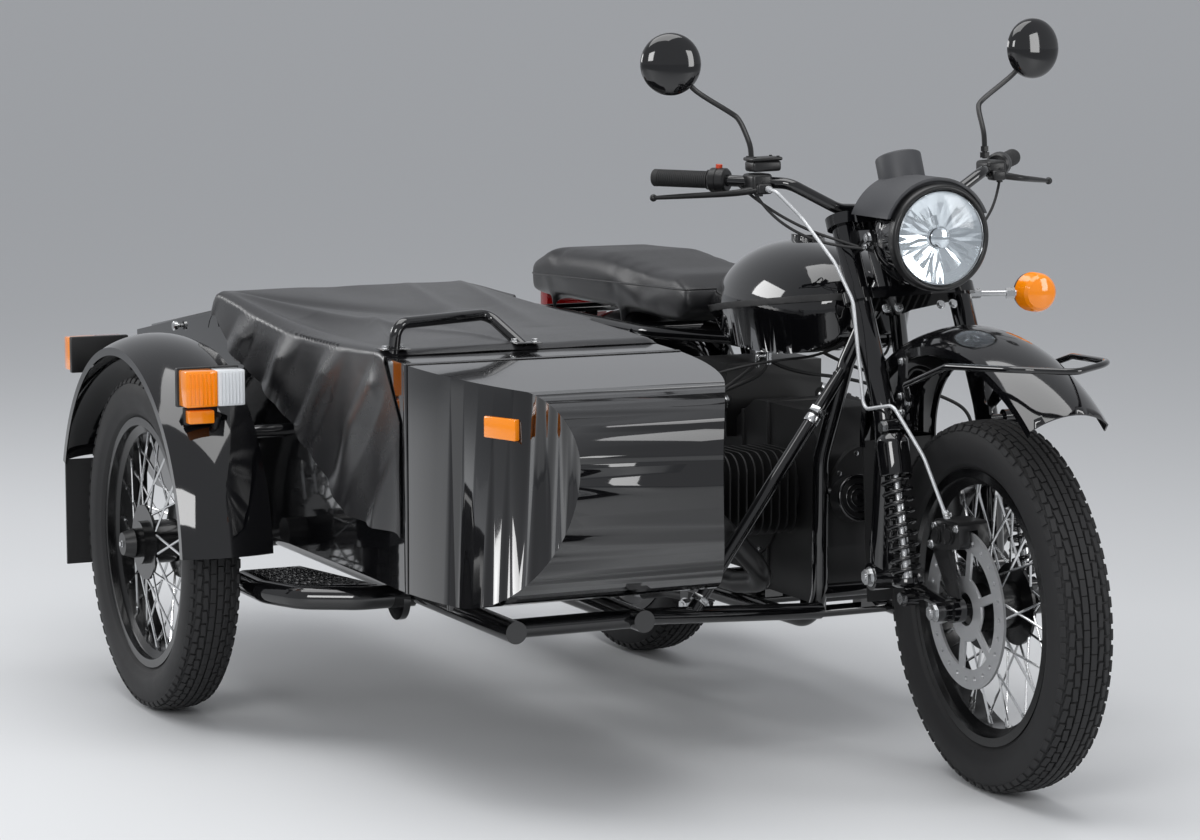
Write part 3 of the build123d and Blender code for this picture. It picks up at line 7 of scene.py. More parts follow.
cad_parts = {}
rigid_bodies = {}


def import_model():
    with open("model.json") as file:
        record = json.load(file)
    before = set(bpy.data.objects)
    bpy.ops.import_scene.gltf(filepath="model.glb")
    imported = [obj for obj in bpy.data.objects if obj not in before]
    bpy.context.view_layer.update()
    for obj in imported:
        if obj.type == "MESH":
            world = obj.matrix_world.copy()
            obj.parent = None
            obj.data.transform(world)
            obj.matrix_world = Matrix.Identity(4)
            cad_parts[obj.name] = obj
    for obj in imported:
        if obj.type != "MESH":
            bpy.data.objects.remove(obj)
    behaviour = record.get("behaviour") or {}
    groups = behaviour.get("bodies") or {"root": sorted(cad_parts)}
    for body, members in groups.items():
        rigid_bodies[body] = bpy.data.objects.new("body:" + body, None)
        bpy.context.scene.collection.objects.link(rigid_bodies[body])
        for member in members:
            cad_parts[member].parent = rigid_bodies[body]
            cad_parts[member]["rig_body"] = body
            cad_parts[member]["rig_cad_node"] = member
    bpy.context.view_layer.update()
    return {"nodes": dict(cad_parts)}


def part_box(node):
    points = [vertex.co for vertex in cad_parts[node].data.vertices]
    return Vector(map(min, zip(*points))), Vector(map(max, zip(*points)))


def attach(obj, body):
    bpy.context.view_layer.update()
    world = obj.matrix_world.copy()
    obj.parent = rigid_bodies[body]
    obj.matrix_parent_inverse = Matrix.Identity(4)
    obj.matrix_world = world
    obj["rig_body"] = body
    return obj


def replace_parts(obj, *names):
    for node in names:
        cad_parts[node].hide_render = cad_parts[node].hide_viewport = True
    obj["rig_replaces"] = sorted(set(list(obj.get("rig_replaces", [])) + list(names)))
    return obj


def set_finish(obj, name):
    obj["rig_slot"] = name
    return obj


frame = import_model()

# Studio: a pale floor that runs on behind the machine, soft boxes overhead and at both sides, and
# the camera at the front right, low, on a long lens. Sizes are in metres; photo pixels are of a
# 1200 x 840 picture.
PHOTO_WIDTH = 1200
FOCAL_PIXELS = 3480.5
SENSOR_WIDTH = 36.0
CAMERA_PLACE = Vector((6.227, -2.966, 1.489))
CAMERA_YAW = 154.48
CAMERA_PITCH = -7.30
FLOOR_SIZE = 600


def heading(yaw, pitch):
    """The direction of a yaw and a pitch, in degrees."""
    level = cos(radians(pitch))
    return Vector((cos(radians(yaw)) * level, sin(radians(yaw)) * level, sin(radians(pitch))))


bpy.ops.object.camera_add(location=CAMERA_PLACE)
camera = bpy.context.object
camera.name = "camera"
camera.rotation_euler = heading(CAMERA_YAW, CAMERA_PITCH).to_track_quat("-Z", "Y").to_euler()
camera.data.sensor_width = SENSOR_WIDTH
camera.data.lens = FOCAL_PIXELS / PHOTO_WIDTH * SENSOR_WIDTH
camera.data.clip_end = 1.5 * FLOOR_SIZE
bpy.context.scene.camera = camera
bpy.context.scene.view_settings.view_transform = "Standard"

SOFT_BOXES = (
    # name, place, target, width, height, watts
    ("overhead", (0.4, -0.4, 4.2), (0.2, -0.2, 0.5), 4.2, 3.0, 120),
    ("front_right", (5.0, -4.6, 3.2), (0.3, -0.3, 0.6), 2.6, 2.2, 150),
    ("front_left", (5.2, 3.6, 2.2), (0.5, 0.2, 0.6), 1.6, 2.6, 70),
    ("rear_right", (-4.2, -3.6, 2.4), (0.0, -0.4, 0.6), 2.4, 1.6, 70),
)
for name, place, target, width, height, watts in SOFT_BOXES:
    bpy.ops.object.light_add(type="AREA", location=place)
    soft_box = bpy.context.object
    soft_box.name = name
    soft_box.data.shape = "RECTANGLE"
    soft_box.data.size = width
    soft_box.data.size_y = height
    soft_box.data.energy = watts
    aim = Vector(target) - Vector(place)
    soft_box.rotation_euler = aim.to_track_quat("-Z", "Y").to_euler()

world = bpy.data.worlds.new("studio")
bpy.context.scene.world = world
world.use_nodes = True
nodes, links = world.node_tree.nodes, world.node_tree.links
nodes.clear()
light_path = nodes.new("ShaderNodeLightPath")
pale = nodes.new("ShaderNodeBackground")
pale.inputs["Color"].default_value = (0.86, 0.87, 0.88, 1)
dim = nodes.new("ShaderNodeBackground")
dim.inputs["Color"].default_value = (0.86, 0.88, 0.92, 1)
dim.inputs["Strength"].default_value = 0.5
choice = nodes.new("ShaderNodeMixShader")
sky = nodes.new("ShaderNodeOutputWorld")
links.new(light_path.outputs["Is Camera Ray"], choice.inputs["Fac"])
links.new(dim.outputs["Background"], choice.inputs[1])
links.new(pale.outputs["Background"], choice.inputs[2])
links.new(choice.outputs["Shader"], sky.inputs["Surface"])

bpy.ops.mesh.primitive_plane_add(size=FLOOR_SIZE)
floor = bpy.context.object
floor.name = "studio_floor"
floor_paint = bpy.data.materials.new("studio_floor")
floor_paint.use_nodes = True
floor_shader = floor_paint.node_tree.nodes["Principled BSDF"]
floor_shader.inputs["Base Color"].default_value = (0.72, 0.73, 0.74, 1)
floor_shader.inputs["Roughness"].default_value = 0.5
floor.data.materials.append(floor_paint)

# Frame: steel tubes, welded and sprayed in gloss black enamel. The enamel has a faint ripple, and
# fine dust has settled on what faces up. The rest of the black pieces share it.
def hex_colour(value):
    """A linear colour from an sRGB number such as 0x202224."""
    channels = ((value >> 16) & 255, (value >> 8) & 255, value & 255)
    return tuple(
        c / 255 / 12.92 if c <= 10 else ((c / 255 + 0.055) / 1.055) ** 2.4 for c in channels
    ) + (1.0,)


def new_group(name, inputs, outputs):
    """An empty shader node group with float inputs (name, value) and named outputs."""
    group = bpy.data.node_groups.new(name, "ShaderNodeTree")
    for label, value in inputs:
        socket = group.interface.new_socket(label, in_out="INPUT", socket_type="NodeSocketFloat")
        socket.default_value = value
    for label in outputs:
        group.interface.new_socket(label, in_out="OUTPUT", socket_type="NodeSocketFloat")
    start = group.nodes.new("NodeGroupInput")
    end = group.nodes.new("NodeGroupOutput")
    return group, start, end


def noise_in(group, scale, detail=3.0, roughness=0.5):
    """A noise texture on Object coordinates in a group, its scale in features per metre."""
    place = group.nodes.new("ShaderNodeTexCoord")
    pattern = group.nodes.new("ShaderNodeTexNoise")
    pattern.inputs["Detail"].default_value = detail
    pattern.inputs["Roughness"].default_value = roughness
    group.links.new(place.outputs["Object"], pattern.inputs["Vector"])
    if isinstance(scale, (int, float)):
        pattern.inputs["Scale"].default_value = scale
    else:
        group.links.new(scale, pattern.inputs["Scale"])
    return pattern


def spread(group, value, low, high):
    """Map a 0 to 1 value to the range low to high; low and high are sockets or numbers."""
    node = group.nodes.new("ShaderNodeMapRange")
    group.links.new(value, node.inputs["Value"])
    for socket, bound in (("To Min", low), ("To Max", high)):
        if isinstance(bound, (int, float)):
            node.inputs[socket].default_value = bound
        else:
            group.links.new(bound, node.inputs[socket])
    return node.outputs["Result"]


# Surface film: uneven gloss from handling and dust, and a fine relief such as ripple or grain
surface_film, film_in, film_out = new_group(
    "surface_film",
    (
        ("Gloss Low", 0.05),
        ("Gloss High", 0.12),
        ("Patch Scale", 6.0),
        ("Relief Scale", 60.0),
        ("Dust", 0.15),
    ),
    ("Roughness", "Relief", "Dust Mask"),
)
patches = noise_in(surface_film, film_in.outputs["Patch Scale"], 5.0, 0.6)
relief = noise_in(surface_film, film_in.outputs["Relief Scale"], 2.0)
upward = surface_film.nodes.new("ShaderNodeNewGeometry")
split = surface_film.nodes.new("ShaderNodeSeparateXYZ")
surface_film.links.new(upward.outputs["Normal"], split.inputs["Vector"])
facing_up = surface_film.nodes.new("ShaderNodeMapRange")
facing_up.inputs["From Min"].default_value = 0.55
facing_up.inputs["From Max"].default_value = 1.0
surface_film.links.new(split.outputs["Z"], facing_up.inputs["Value"])
specks = noise_in(surface_film, 140.0, 4.0, 0.7)
speckled = surface_film.nodes.new("ShaderNodeMath")
speckled.operation = "MULTIPLY"
surface_film.links.new(facing_up.outputs["Result"], speckled.inputs[0])
surface_film.links.new(specks.outputs["Fac"], speckled.inputs[1])
dusty = surface_film.nodes.new("ShaderNodeMath")
dusty.operation = "MULTIPLY"
surface_film.links.new(speckled.outputs["Value"], dusty.inputs[0])
surface_film.links.new(film_in.outputs["Dust"], dusty.inputs[1])
gloss = spread(
    surface_film, patches.outputs["Fac"], film_in.outputs["Gloss Low"], film_in.outputs["Gloss High"]
)
dulled = surface_film.nodes.new("ShaderNodeMath")
dulled.operation = "ADD"
surface_film.links.new(gloss, dulled.inputs[0])
surface_film.links.new(dusty.outputs["Value"], dulled.inputs[1])
surface_film.links.new(dulled.outputs["Value"], film_out.inputs["Roughness"])
surface_film.links.new(relief.outputs["Fac"], film_out.inputs["Relief"])
surface_film.links.new(dusty.outputs["Value"], film_out.inputs["Dust Mask"])


DUST_TINT = 0.06


def finish_of(name, colour, film, relief_depth, metallic=0.0, worn=None, **sockets):
    """A material with the surface film in it; worn is the colour that the dust mask brings."""
    material = bpy.data.materials.new(name)
    material.use_nodes = True
    tree = material.node_tree
    shader = tree.nodes["Principled BSDF"]
    coat = tree.nodes.new("ShaderNodeGroup")
    coat.node_tree = surface_film
    for label, value in film.items():
        coat.inputs[label].default_value = value
    tint = tree.nodes.new("ShaderNodeMix")
    tint.data_type = "RGBA"
    tint.inputs["A"].default_value = colour
    tint.inputs["B"].default_value = worn or tuple(min(1, c + DUST_TINT) for c in colour[:3]) + (1,)
    tree.links.new(coat.outputs["Dust Mask"], tint.inputs["Factor"])
    tree.links.new(tint.outputs["Result"], shader.inputs["Base Color"])
    tree.links.new(coat.outputs["Roughness"], shader.inputs["Roughness"])
    bump = tree.nodes.new("ShaderNodeBump")
    bump.inputs["Strength"].default_value = 1.0
    bump.inputs["Distance"].default_value = relief_depth
    tree.links.new(coat.outputs["Relief"], bump.inputs["Height"])
    tree.links.new(bump.outputs["Normal"], shader.inputs["Normal"])
    shader.inputs["Metallic"].default_value = metallic
    for label, value in sockets.items():
        shader.inputs[label.replace("_", " ")].default_value = value
    return material


gloss_black = finish_of(
    "gloss_black_enamel",
    hex_colour(0x0B0B0D),
    {"Gloss Low": 0.03, "Gloss High": 0.09, "Relief Scale": 90.0, "Dust": 0.10},
    0.00002,
    Coat_Weight=0.6,
    Coat_Roughness=0.03,
)
satin_black = finish_of(
    "satin_black_paint",
    hex_colour(0x141415),
    {"Gloss Low": 0.28, "Gloss High": 0.42, "Relief Scale": 400.0, "Dust": 0.2},
    0.00003,
)
engine_black = finish_of(
    "heat_resistant_black",
    hex_colour(0x1B1B1C),
    {"Gloss Low": 0.42, "Gloss High": 0.62, "Relief Scale": 700.0, "Dust": 0.35},
    0.00012,
)
bright_zinc = finish_of(
    "zinc_plate",
    hex_colour(0xC9CACB),
    {"Gloss Low": 0.16, "Gloss High": 0.32, "Relief Scale": 500.0, "Dust": 0.1},
    0.00002,
    metallic=1.0,
)
cast_alloy = finish_of(
    "cast_alloy",
    hex_colour(0x8E8F90),
    {"Gloss Low": 0.36, "Gloss High": 0.5, "Relief Scale": 600.0, "Dust": 0.2},
    0.00008,
    metallic=1.0,
)


def coat_node(material, *names):
    """Give frame nodes their finish."""
    for name in names:
        mesh = frame["nodes"][name].data
        mesh.materials.clear()
        mesh.materials.append(material)


coat_node(gloss_black, "main_frame")

# Wheels: 19 inch steel rims laced with forty bright spokes to a cast hub. Rims and hubs are sprayed
# black, and each spoke ends at the rim in a zinc plated nipple.
WHEELBASE = 1500
AXLE_HEIGHT = 343
TRACK = 1155
SIDECAR_LEAD = 142

# The machine's layout is in millimetres from the ground under the rear axle, and the frame's origin
# lies in it at MIDDLE_X and MIDDLE_Y
MIDDLE_X = 621.5
MIDDLE_Y = -401.5
STEER_PLACE = Vector((1060, 0, 969))
STEER_RAKE = 26
STEER_DIRECTION = Vector((-sin(radians(STEER_RAKE)), 0, cos(radians(STEER_RAKE))))
STEER_PARKED = -4.0


def at(x, y, z):
    """A point of the machine's own layout, in millimetres from the ground under the rear axle."""
    return Vector(((x - MIDDLE_X) / 1000, (y - MIDDLE_Y) / 1000, z / 1000))


PIVOT = at(*STEER_PLACE)
PARKED = (
    Matrix.Translation(PIVOT)
    @ Matrix.Rotation(radians(STEER_PARKED), 4, STEER_DIRECTION)
    @ Matrix.Translation(-PIVOT)
)


def steered(x, y, z):
    """A point of the layout on what steers, turned as the bars are parked."""
    return PARKED @ at(x, y, z)


def only(*pieces):
    """Select these pieces alone, the last one active."""
    bpy.ops.object.select_all(action="DESELECT")
    for piece in pieces:
        piece.select_set(True)
        bpy.context.view_layer.objects.active = piece


def joined(pieces):
    """Join pieces into the last of them."""
    only(*pieces)
    bpy.ops.object.join()
    return bpy.context.object


def settle(piece, name, material, body, slot, replaced=()):
    """Name a finished piece, give it its finish and fix it to its body."""
    only(piece)
    bpy.ops.object.transform_apply(location=True, rotation=True, scale=True)
    piece.name = name
    if material is not None:
        piece.data.materials.clear()
        piece.data.materials.append(material)
    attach(piece, body)
    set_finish(piece, slot)
    if replaced:
        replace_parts(piece, *replaced)
    return piece


def smooth(piece, angle=35):
    """Shade a piece smooth across edges flatter than an angle in degrees."""
    only(piece)
    bpy.ops.object.shade_smooth_by_angle(angle=radians(angle))


def apply_all(piece):
    """Apply every modifier of a piece in turn."""
    only(piece)
    for modifier in list(piece.modifiers):
        bpy.ops.object.modifier_apply(modifier=modifier.name)


WHEELS = (
    # name, centre, turn of its axle about the steering axis, body
    ("front", steered(WHEELBASE, 0, AXLE_HEIGHT), PARKED.to_3x3(), "front_wheel"),
    ("rear", at(0, 0, AXLE_HEIGHT), Matrix.Identity(3), "rear_wheel"),
    ("sidecar", at(SIDECAR_LEAD, -TRACK, AXLE_HEIGHT), Matrix.Identity(3), "sidecar_wheel"),
)
RIM_FROM = 0.2235
HUB_TO = 0.0765


def wheel_finish(name, centre, turn):
    """Black rim, bright spokes and black hub, told apart by the distance from the axle."""
    material = finish_of(
        f"{name}_wheel_finish",
        hex_colour(0x0C0C0D),
        {"Gloss Low": 0.12, "Gloss High": 0.22, "Relief Scale": 200.0, "Dust": 0.1},
        0.00001,
    )
    tree = material.node_tree
    shader = tree.nodes["Principled BSDF"]
    place = tree.nodes.new("ShaderNodeTexCoord")
    to_axle = tree.nodes.new("ShaderNodeMapping")
    to_axle.vector_type = "POINT"
    to_axle.inputs["Location"].default_value = -(turn.inverted() @ centre)
    to_axle.inputs["Rotation"].default_value = turn.inverted().to_euler()
    tree.links.new(place.outputs["Object"], to_axle.inputs["Vector"])
    flat = tree.nodes.new("ShaderNodeVectorMath")
    flat.operation = "MULTIPLY"
    flat.inputs[1].default_value = (1, 0, 1)
    tree.links.new(to_axle.outputs["Vector"], flat.inputs[0])
    radius = tree.nodes.new("ShaderNodeVectorMath")
    radius.operation = "LENGTH"
    tree.links.new(flat.outputs["Vector"], radius.inputs[0])
    inside_rim = tree.nodes.new("ShaderNodeMath")
    inside_rim.operation = "LESS_THAN"
    inside_rim.inputs[1].default_value = RIM_FROM
    outside_hub = tree.nodes.new("ShaderNodeMath")
    outside_hub.operation = "GREATER_THAN"
    outside_hub.inputs[1].default_value = HUB_TO
    tree.links.new(radius.outputs["Value"], inside_rim.inputs[0])
    tree.links.new(radius.outputs["Value"], outside_hub.inputs[0])
    is_spoke = tree.nodes.new("ShaderNodeMath")
    is_spoke.operation = "MULTIPLY"
    tree.links.new(inside_rim.outputs["Value"], is_spoke.inputs[0])
    tree.links.new(outside_hub.outputs["Value"], is_spoke.inputs[1])
    paint = shader.inputs["Base Color"].links[0].from_socket
    shade = tree.nodes.new("ShaderNodeMix")
    shade.data_type = "RGBA"
    shade.inputs["B"].default_value = hex_colour(0xD8D9DA)
    tree.links.new(is_spoke.outputs["Value"], shade.inputs["Factor"])
    tree.links.new(paint, shade.inputs["A"])
    tree.links.new(shade.outputs["Result"], shader.inputs["Base Color"])
    tree.links.new(is_spoke.outputs["Value"], shader.inputs["Metallic"])
    return material


SPOKES_PER_SIDE = 20
LACING_LEAN = 26
FLANGE_RADIUS = 0.071
FLANGE_OFFSET = 0.036
NIPPLE_RADIUS = 0.222
NIPPLE_OFFSET = 0.0074
NIPPLE_INSET = 0.005
NIPPLE_LENGTH = 0.016


def round_axle(radius, across, angle):
    """A place on a wheel, from its distance to the axle, its place along it and its angle."""
    return Vector((radius * cos(angle), across, radius * sin(angle)))


for name, centre, turn, body in WHEELS:
    coat_node(wheel_finish(name, centre, turn), f"{name}_wheel")
    nipples = []
    for side in (-1, 1):
        for index in range(SPOKES_PER_SIDE):
            angle = tau / SPOKES_PER_SIDE * index + side * radians(90 / SPOKES_PER_SIDE)
            lean = radians(LACING_LEAN if index % 2 else -LACING_LEAN)
            hub_end = round_axle(FLANGE_RADIUS, side * FLANGE_OFFSET, angle - lean)
            rim_end = round_axle(NIPPLE_RADIUS, side * NIPPLE_OFFSET, angle)
            along = (rim_end - hub_end).normalized()
            bpy.ops.mesh.primitive_cone_add(
                vertices=8, radius1=0.0034, radius2=0.0044, depth=NIPPLE_LENGTH
            )
            nipple = bpy.context.object
            nipple.matrix_world = (
                Matrix.Translation(centre)
                @ turn.to_4x4()
                @ Matrix.Translation(rim_end - along * NIPPLE_INSET)
                @ along.to_track_quat("Z", "Y").to_matrix().to_4x4()
            )
            nipples.append(nipple)
    settle(joined(nipples), f"{name}_nipples", bright_zinc, body, "spoke_steel")

# Tyres: moulded rubber, size 4.00-19. Two notched ribs run down the middle, with two rows of
# blocks and a row of shoulder lugs on each side, and the wall has raised rings above the bead.
TREAD_PITCHES = 72
TYRE_STEPS = 96
TYRE_SECTION = (
    # across, radius: one side from the bead to the crown, in metres
    (0.0355, 0.2440),
    (0.0362, 0.2570),
    (0.0440, 0.2630),
    (0.0462, 0.2660),
    (0.0466, 0.2700),
    (0.0525, 0.2780),
    (0.0554, 0.2900),
    (0.0558, 0.3010),
    (0.0545, 0.3120),
    (0.0515, 0.3225),
    (0.0462, 0.3310),
    (0.0335, 0.3345),
    (0.0160, 0.3366),
)
tyre_rubber = finish_of(
    "tyre_rubber",
    hex_colour(0x242425),
    {"Gloss Low": 0.55, "Gloss High": 0.75, "Relief Scale": 900.0, "Dust": 0.3, "Patch Scale": 14.0},
    0.00008,
    worn=hex_colour(0x4A4845),
    Specular_IOR_Level=0.35,
)
TREAD_BLOCKS = (
    # across, length along the tread, width, skew and lean in degrees, radius of the base
    (0.0074, 0.0286, 0.0116, 0, 0, 0.3338),
    (0.0212, 0.0256, 0.0102, -5, 12, 0.3328),
    (0.0337, 0.0250, 0.0102, 6, 26, 0.3308),
    (0.0458, 0.0190, 0.0110, 0, 58, 0.3252),
)
TREAD_BLOCK_HEIGHT = 0.0105
TREAD_BLOCK_LIFT = 0.0025
bpy.ops.mesh.primitive_circle_add(vertices=2 * len(TYRE_SECTION), radius=0.05)
carcass = bpy.context.object
section = list(TYRE_SECTION) + [(-y, r) for y, r in reversed(TYRE_SECTION)]
for vertex, (across, radius) in zip(carcass.data.vertices, section):
    vertex.co = (radius, across, 0)
bpy.ops.object.mode_set(mode="EDIT")
bpy.ops.mesh.select_all(action="SELECT")
bpy.ops.mesh.spin(steps=TYRE_STEPS, angle=tau, center=(0, 0, 0), axis=(0, 1, 0))
bpy.ops.mesh.select_all(action="SELECT")
bpy.ops.mesh.remove_doubles(threshold=0.0001)
bpy.ops.mesh.normals_make_consistent(inside=False)
bpy.ops.object.mode_set(mode="OBJECT")
smooth(carcass, 40)

tread_blocks = []
for row, (across, length, width, skew, lean, base) in enumerate(TREAD_BLOCKS):
    for side in (-1, 1):
        bpy.ops.mesh.primitive_cube_add(size=1)
        tread_block = bpy.context.object
        tread_block.scale = (TREAD_BLOCK_HEIGHT, width, length)
        bpy.ops.object.transform_apply(location=False, rotation=False, scale=True)
        bevel = tread_block.modifiers.new("edge", "BEVEL")
        bevel.width = 0.0009
        bevel.segments = 1
        apply_all(tread_block)
        staggered = (row + (side > 0)) % 2
        slide = radians(0.5 * 360 / TREAD_PITCHES if staggered else 0)
        tread_block.matrix_world = (
            Matrix.Rotation(slide, 4, "Y")
            @ Matrix.Translation((base + TREAD_BLOCK_LIFT, side * across, 0))
            @ Matrix.Rotation(side * radians(lean), 4, "Z")
            @ Matrix.Rotation(side * radians(skew), 4, "X")
        )
        tread_blocks.append(tread_block)
tread = joined(tread_blocks)
only(tread)
bpy.ops.object.transform_apply(location=True, rotation=True, scale=True)
bpy.ops.object.mode_set(mode="EDIT")
bpy.ops.mesh.select_all(action="SELECT")
bpy.ops.mesh.spin(
    steps=TREAD_PITCHES - 1,
    dupli=True,
    angle=tau * (TREAD_PITCHES - 1) / TREAD_PITCHES,
    center=(0, 0, 0),
    axis=(0, 1, 0),
)
bpy.ops.object.mode_set(mode="OBJECT")
pattern_tyre = joined([tread, carcass])
for name, centre, turn, body in WHEELS:
    tyre = pattern_tyre.copy()
    tyre.data = pattern_tyre.data.copy()
    bpy.context.scene.collection.objects.link(tyre)
    tyre.matrix_world = Matrix.Translation(centre) @ turn.to_4x4()
    settle(tyre, f"{name}_tyre_rubber", tyre_rubber, body, "tyre_rubber", (f"{name}_tyre",))
bpy.data.objects.remove(pattern_tyre)

# Painted panels: pressed steel fenders, tank, tool boxes, the sidecar's shell and its boot lid, all
# in the same gloss black. The boxes and the lid get rounded edges, and the rest keep their own.
def free_copy(node):
    """A frame node's shape as a piece of its own."""
    source = frame["nodes"][node]
    piece = source.copy()
    piece.data = source.data.copy()
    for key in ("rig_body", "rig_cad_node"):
        del piece[key]
    piece.parent = None
    piece.matrix_world = Matrix.Identity(4)
    bpy.context.scene.collection.objects.link(piece)
    return piece


def softened(node, name, material, body, slot, width, angle, segments=2):
    """A smooth copy of a frame node, its edges rounded by a width, standing for the node."""
    piece = free_copy(node)
    only(piece)
    bpy.ops.object.mode_set(mode="EDIT")
    bpy.ops.mesh.select_all(action="SELECT")
    bpy.ops.mesh.remove_doubles(threshold=0.00002)
    bpy.ops.mesh.tris_convert_to_quads(face_threshold=radians(3), shape_threshold=radians(60))
    bpy.ops.mesh.dissolve_limited(angle_limit=radians(0.4))
    bpy.ops.object.mode_set(mode="OBJECT")
    if width:
        edge = piece.modifiers.new("edge", "BEVEL")
        edge.width = width
        edge.segments = segments
        edge.limit_method = "ANGLE"
        edge.angle_limit = radians(angle)
        apply_all(piece)
    smooth(piece, angle)
    return settle(piece, name, material, body, slot, (node,))


PANELS = (
    # node, body, radius of its edges in metres
    ("fuel_tank", "chassis", 0.0),
    ("rear_fender", "chassis", 0.0),
    ("side_boxes", "chassis", 0.004),
    ("sidecar_body", "chassis", 0.0),
    ("sidecar_fender", "chassis", 0.0),
    ("front_fender", "fork", 0.0),
    ("boot_lid", "boot_lid", 0.002),
)
for node, body, edge_radius in PANELS:
    softened(node, f"{node}_panel", gloss_black, body, "gloss_black", edge_radius, 28)

# Tubes, fork and struts: drawn steel tube with welded ends, sprayed the same gloss black. The
# pieces low down, the horn and the exhausts are satin.
coat_node(
    gloss_black,
    "fork_legs",
    "leading_link",
    "fender_guard",
    "handlebar",
    "grab_handle",
    "side_step",
    "sidecar_frame",
    "sidecar_struts",
)
coat_node(
    satin_black,
    "sidecar_arm",
    "rear_swing_arm",
    "centre_stand",
    "foot_pegs",
    "horn",
    "air_box",
    "exhausts",
)

# Engine: cast alloy cases, finned cylinders and valve covers, all in heat resistant black. The
# carburettors are bare castings.
coat_node(engine_black, "engine_case", "cylinders", "cylinder_heads")
coat_node(cast_alloy, "carburettors")

# Rubber flaps, hung behind the front and sidecar wheels, and the bars' grips: all of black
# moulded rubber with a fine grain.
black_rubber = finish_of(
    "black_rubber",
    hex_colour(0x1C1C1D),
    {"Gloss Low": 0.55, "Gloss High": 0.72, "Relief Scale": 600.0, "Dust": 0.4},
    0.00006,
)
coat_node(black_rubber, "front_mud_flap", "sidecar_mud_flap", "grips")


# Springs: coils of black steel wire between a glossy sleeve above and a seat below, round a bright
# damper rod. A bolt goes through the eye at each end.
def lathe(section, steps):
    """Spin a closed section of (radius, height) points round Z."""
    bpy.ops.mesh.primitive_circle_add(vertices=len(section), radius=0.01)
    piece = bpy.context.object
    for vertex, (radius, height) in zip(piece.data.vertices, section):
        vertex.co = (radius, 0, height)
    bpy.ops.object.mode_set(mode="EDIT")
    bpy.ops.mesh.select_all(action="SELECT")
    bpy.ops.mesh.spin(steps=steps, angle=tau, center=(0, 0, 0), axis=(0, 0, 1))
    bpy.ops.mesh.select_all(action="SELECT")
    bpy.ops.mesh.remove_doubles(threshold=0.00003)
    bpy.ops.mesh.normals_make_consistent(inside=False)
    bpy.ops.object.mode_set(mode="OBJECT")
    return piece


def place_along(piece, start, direction, roll="Y"):
    """Move a piece whose Z is its length to a point, its Z along a direction."""
    piece.matrix_world = (
        Matrix.Translation(start) @ Vector(direction).to_track_quat("Z", roll).to_matrix().to_4x4()
    )
    return piece


def cylinder_between(start, end, radius, vertices=24):
    """A plain cylinder from one point to another."""
    start, end = Vector(start), Vector(end)
    bpy.ops.mesh.primitive_cylinder_add(
        vertices=vertices, radius=radius, depth=(end - start).length
    )
    return place_along(bpy.context.object, (start + end) / 2, end - start)


def assembled(parts, angle, name, material, body, slot, replaced=()):
    """Join parts into one piece, shade it smooth up to an angle, and settle it."""
    piece = joined(parts)
    smooth(piece, angle)
    return settle(piece, name, material, body, slot, replaced)


SPRING_RADIUS = 0.025
WIRE_RADIUS = 0.0042
COIL_TURNS = 9
SLEEVE_FROM = 0.022
SLEEVE_LENGTH = 0.066
SEAT_RISE = 0.034
EYE_HALF_WIDTH = 0.0125


def coil_spring(start, direction, length):
    """A coil of wire with closed ends; start is the middle of its first turn."""
    bpy.ops.mesh.primitive_circle_add(vertices=12, radius=WIRE_RADIUS)
    coil = bpy.context.object
    coil.rotation_euler = (pi / 2, 0, 0)
    bpy.ops.object.transform_apply(location=False, rotation=True, scale=False)
    for vertex in coil.data.vertices:
        vertex.co.x += SPRING_RADIUS
    winding = coil.modifiers.new("winding", "SCREW")
    winding.axis = "Z"
    winding.angle = tau
    winding.iterations = COIL_TURNS
    winding.screw_offset = (length - 2 * WIRE_RADIUS) / COIL_TURNS
    winding.steps = 32
    winding.render_steps = 32
    winding.use_merge_vertices = False
    apply_all(coil)
    bpy.ops.object.mode_set(mode="EDIT")
    bpy.ops.mesh.select_all(action="SELECT")
    bpy.ops.mesh.fill_holes(sides=0)
    bpy.ops.mesh.select_all(action="SELECT")
    bpy.ops.mesh.normals_make_consistent(inside=False)
    bpy.ops.object.mode_set(mode="OBJECT")
    return place_along(coil, start, direction)


